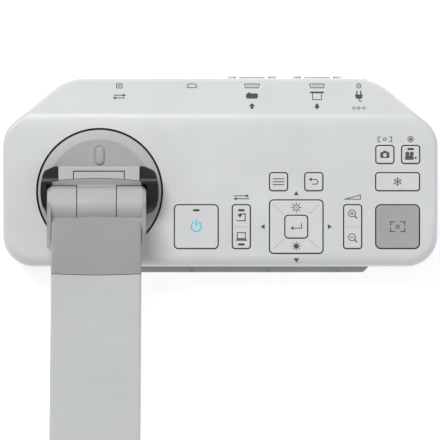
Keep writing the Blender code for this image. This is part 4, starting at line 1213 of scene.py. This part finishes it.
def head_half(name, node, face, edge, cuts):
    """One half of the head's case, open towards the other half."""
    sign = 1 if face > edge else -1
    inner = [flat_ring(head_plan(HEAD_WALL), edge)]
    for inset, drop in quarter(1.5, 4):
        inner.append(flat_ring(head_plan(HEAD_WALL + inset), face - sign * (HEAD_WALL + drop)))
    outer = [flat_ring(head_plan(0.25), edge), flat_ring(head_plan(0.0), edge + sign * 0.3)]
    outer += [flat_ring(head_plan(inset), face - sign * drop) for inset, drop in quarter(3.5, 8)]
    thing = mesh_object(name, [list(reversed(inner)) + outer], HEAD)
    bracket_slot = slab(-20.3, 20.3, -20, -5, -4.3, 4.3)
    for cut in (bracket_slot, *cuts):
        carve(thing, [cut])
    dress(thing, COVER, "head", node, sharp=40)


def lamp_plan(grow):
    return rounded_rect(24.0 + 2 * grow, 8.0 + 2 * grow, 1.8 + grow, 8, cy=LAMP_Y)


def head():
    """The camera head: its case, bracket, lens, lamp window and lamp switch."""
    switch_hole = slab(-4.3, 4.3, -27.3, -18.7, 8, 16)
    head_half("head_top", "head_top_shell", HEAD_TOP, GAP, [switch_hole])
    lens_hole = prism(circle(14.3, 72, 0, LENS_Y), -20, -12)
    lamp_hole = prism(rounded_rect(24.6, 8.6, 2.0, 6, cy=LAMP_Y), -20, -12)
    head_half("head_under", "head_bottom_shell", HEAD_BOTTOM, 0.0, [lens_hole, lamp_hole])

    bracket = mesh_object("head_bracket_shell", [soft_barrel(20.0, HEAD_BARREL, 0.6, 80)], HEAD)
    join(bracket, slab(-19.98, 19.98, -34, 0, -4, 4))
    bore(bracket, HEAD_BARREL + 1.0, WRIST_HALF + 0.4, 80)
    bore(bracket, HEAD_BORE, steps=32)
    round_edges(bracket, 0.3, 2, 50)
    dress(bracket, HINGE_PLASTIC, "head", "head_bracket", sharp=30)

    lens = HEAD @ shift(0, LENS_Y, 0)
    profile = [(9.2, -8.0), (9.2, -15.0), (10.4, -18.6), (11.2, -19.6), (12.2, -20.0), (12.9, -20.0)]
    profile += [(13.6, -19.6), (14.0, -18.8), (14.0, -8.0)]
    ring = mesh_object("lens_ring", [turned(profile, 96)], lens, closed=True)
    carve(ring, [prism(circle(0.35, 8, x, y), -18.6, -17.2) for x, y in circle(14.05, 60)])
    dress(ring, BLACK, "head", "lens_barrel", sharp=40)
    dome = [(8.9, -15.5), (8.9, -17.0)]
    dome += [(8.9 * math.cos(a), -17.0 - 1.5 * math.sin(a)) for a in (0.2, 0.45, 0.7, 0.95, 1.2, 1.45)]
    front = mesh_object("lens_dome", [turned(dome, 72)], lens)
    dress(front, LENS, "head", "front_lens", sharp=50)

    window = [flat_ring(lamp_plan(-inset), -17.2 + drop) for inset, drop in reversed(quarter(0.4, 4))]
    window.append(flat_ring(lamp_plan(0.0), -13.6))
    lamp = mesh_object("lamp_diffuser", [window], HEAD)
    dress(lamp, DIFFUSER, "head", "lamp_window", sharp=40)

    slider = mesh_object("lamp_switch_knob", [slab(-4, 4, -26, -20, 9.0, 13.0)], HEAD)
    ribs = [slab(-1.18, 1.18, y, y + 0.75, 12.5, 14.2) for y in (-25.4, -24.15, -22.9, -21.65)]
    carve(slider, ribs, "UNION")
    round_edges(slider, 0.15, 2)
    dress(slider, BLACK, "lamp_switch", "lamp_switch", sharp=40)


# ---- CAD nodes that stay


def carried_nodes():
    finishes = {
        BOARD: ("main_board", "key_board", "lamp_board"),
        STEEL: ("ballast_plate", "shoulder_pin", "elbow_pin", "head_pin"),
        ALLOY: ("turret_keeper", "lower_arm_spine", "upper_arm_spine", "camera_module"),
        BLACK: ("turret_seat",),
        NICKEL: ("vga_out_port", "vga_in_port", "usb_b_port", "hdmi_port"),
        CONTACT: ("dc_jack",),
        KEY: ("four_way_gimbal",),
    }
    for material, nodes in finishes.items():
        for node in nodes:
            data = frame["nodes"][node].data
            data.materials.clear()
            data.materials.append(material)


# ---- floor, light and camera


def floor_and_light():
    mesh = bmesh.new()
    bmesh.ops.create_grid(mesh, x_segments=8, y_segments=8, size=FLOOR_HALF)
    floor = link_mesh("floor", mesh)
    material = bpy.data.materials.new("floor_paint")
    material.use_nodes = True
    shader = material.node_tree.nodes["Principled BSDF"]
    shader.inputs["Base Color"].default_value = (0.96, 0.96, 0.96, 1)
    shader.inputs["Roughness"].default_value = 0.9
    shader.inputs["Specular IOR Level"].default_value = 0.0
    shader.inputs["Emission Color"].default_value = (1.0, 1.0, 1.0, 1)
    shader.inputs["Emission Strength"].default_value = 0.50
    floor.data.materials.append(material)

    world = bpy.data.worlds.new("studio")
    bpy.context.scene.world = world
    world.use_nodes = True
    backdrop = world.node_tree.nodes["Background"]
    backdrop.inputs["Color"].default_value = (0.985, 0.995, 1.0, 1)
    backdrop.inputs["Strength"].default_value = 0.45
    area("key_light", (-0.50, 1.15, 2.0), 0.9, 33.5)
    area("fill_light", (1.2, -0.4, 2.0), 1.6, 4.5)


def area(name, at, size, power):
    """A square lamp at a place in metres, turned towards the console."""
    light = bpy.data.lights.new(name, "AREA")
    light.size = size
    light.energy = power
    lamp = add_object(name, light)
    lamp.location = at
    lamp.rotation_euler = (Vector(LIGHT_TARGET) - Vector(at)).to_track_quat("-Z", "Y").to_euler()


def camera():
    """A long lens straight above the console, so that edges stay parallel."""
    data = bpy.data.cameras.new("camera")
    data.lens = 1500.0
    data.sensor_width = 36.0
    view_width = 0.2731
    target = CONSOLE @ Vector((-0.00016, 0.02886, 0.052))
    distance = view_width * data.lens / data.sensor_width
    data.clip_start = 0.1
    data.clip_end = distance + 5
    eye = add_object("camera", data)
    eye.location = target + Vector((0, 0, distance))
    bpy.context.scene.camera = eye
    bpy.context.scene.view_settings.view_transform = "Standard"


def main():
    top_cover()
    bottom_case()
    rubber_feet()
    keys()
    key_marks()
    cover_marks()
    socket_inserts()
    turret_plate()
    centre_knuckle()
    shoulder_washers()
    housing()
    side_caps()
    yoke()
    collar()
    shells()
    elbow_and_wrist()
    head()
    carried_nodes()
    floor_and_light()
    camera()


main()
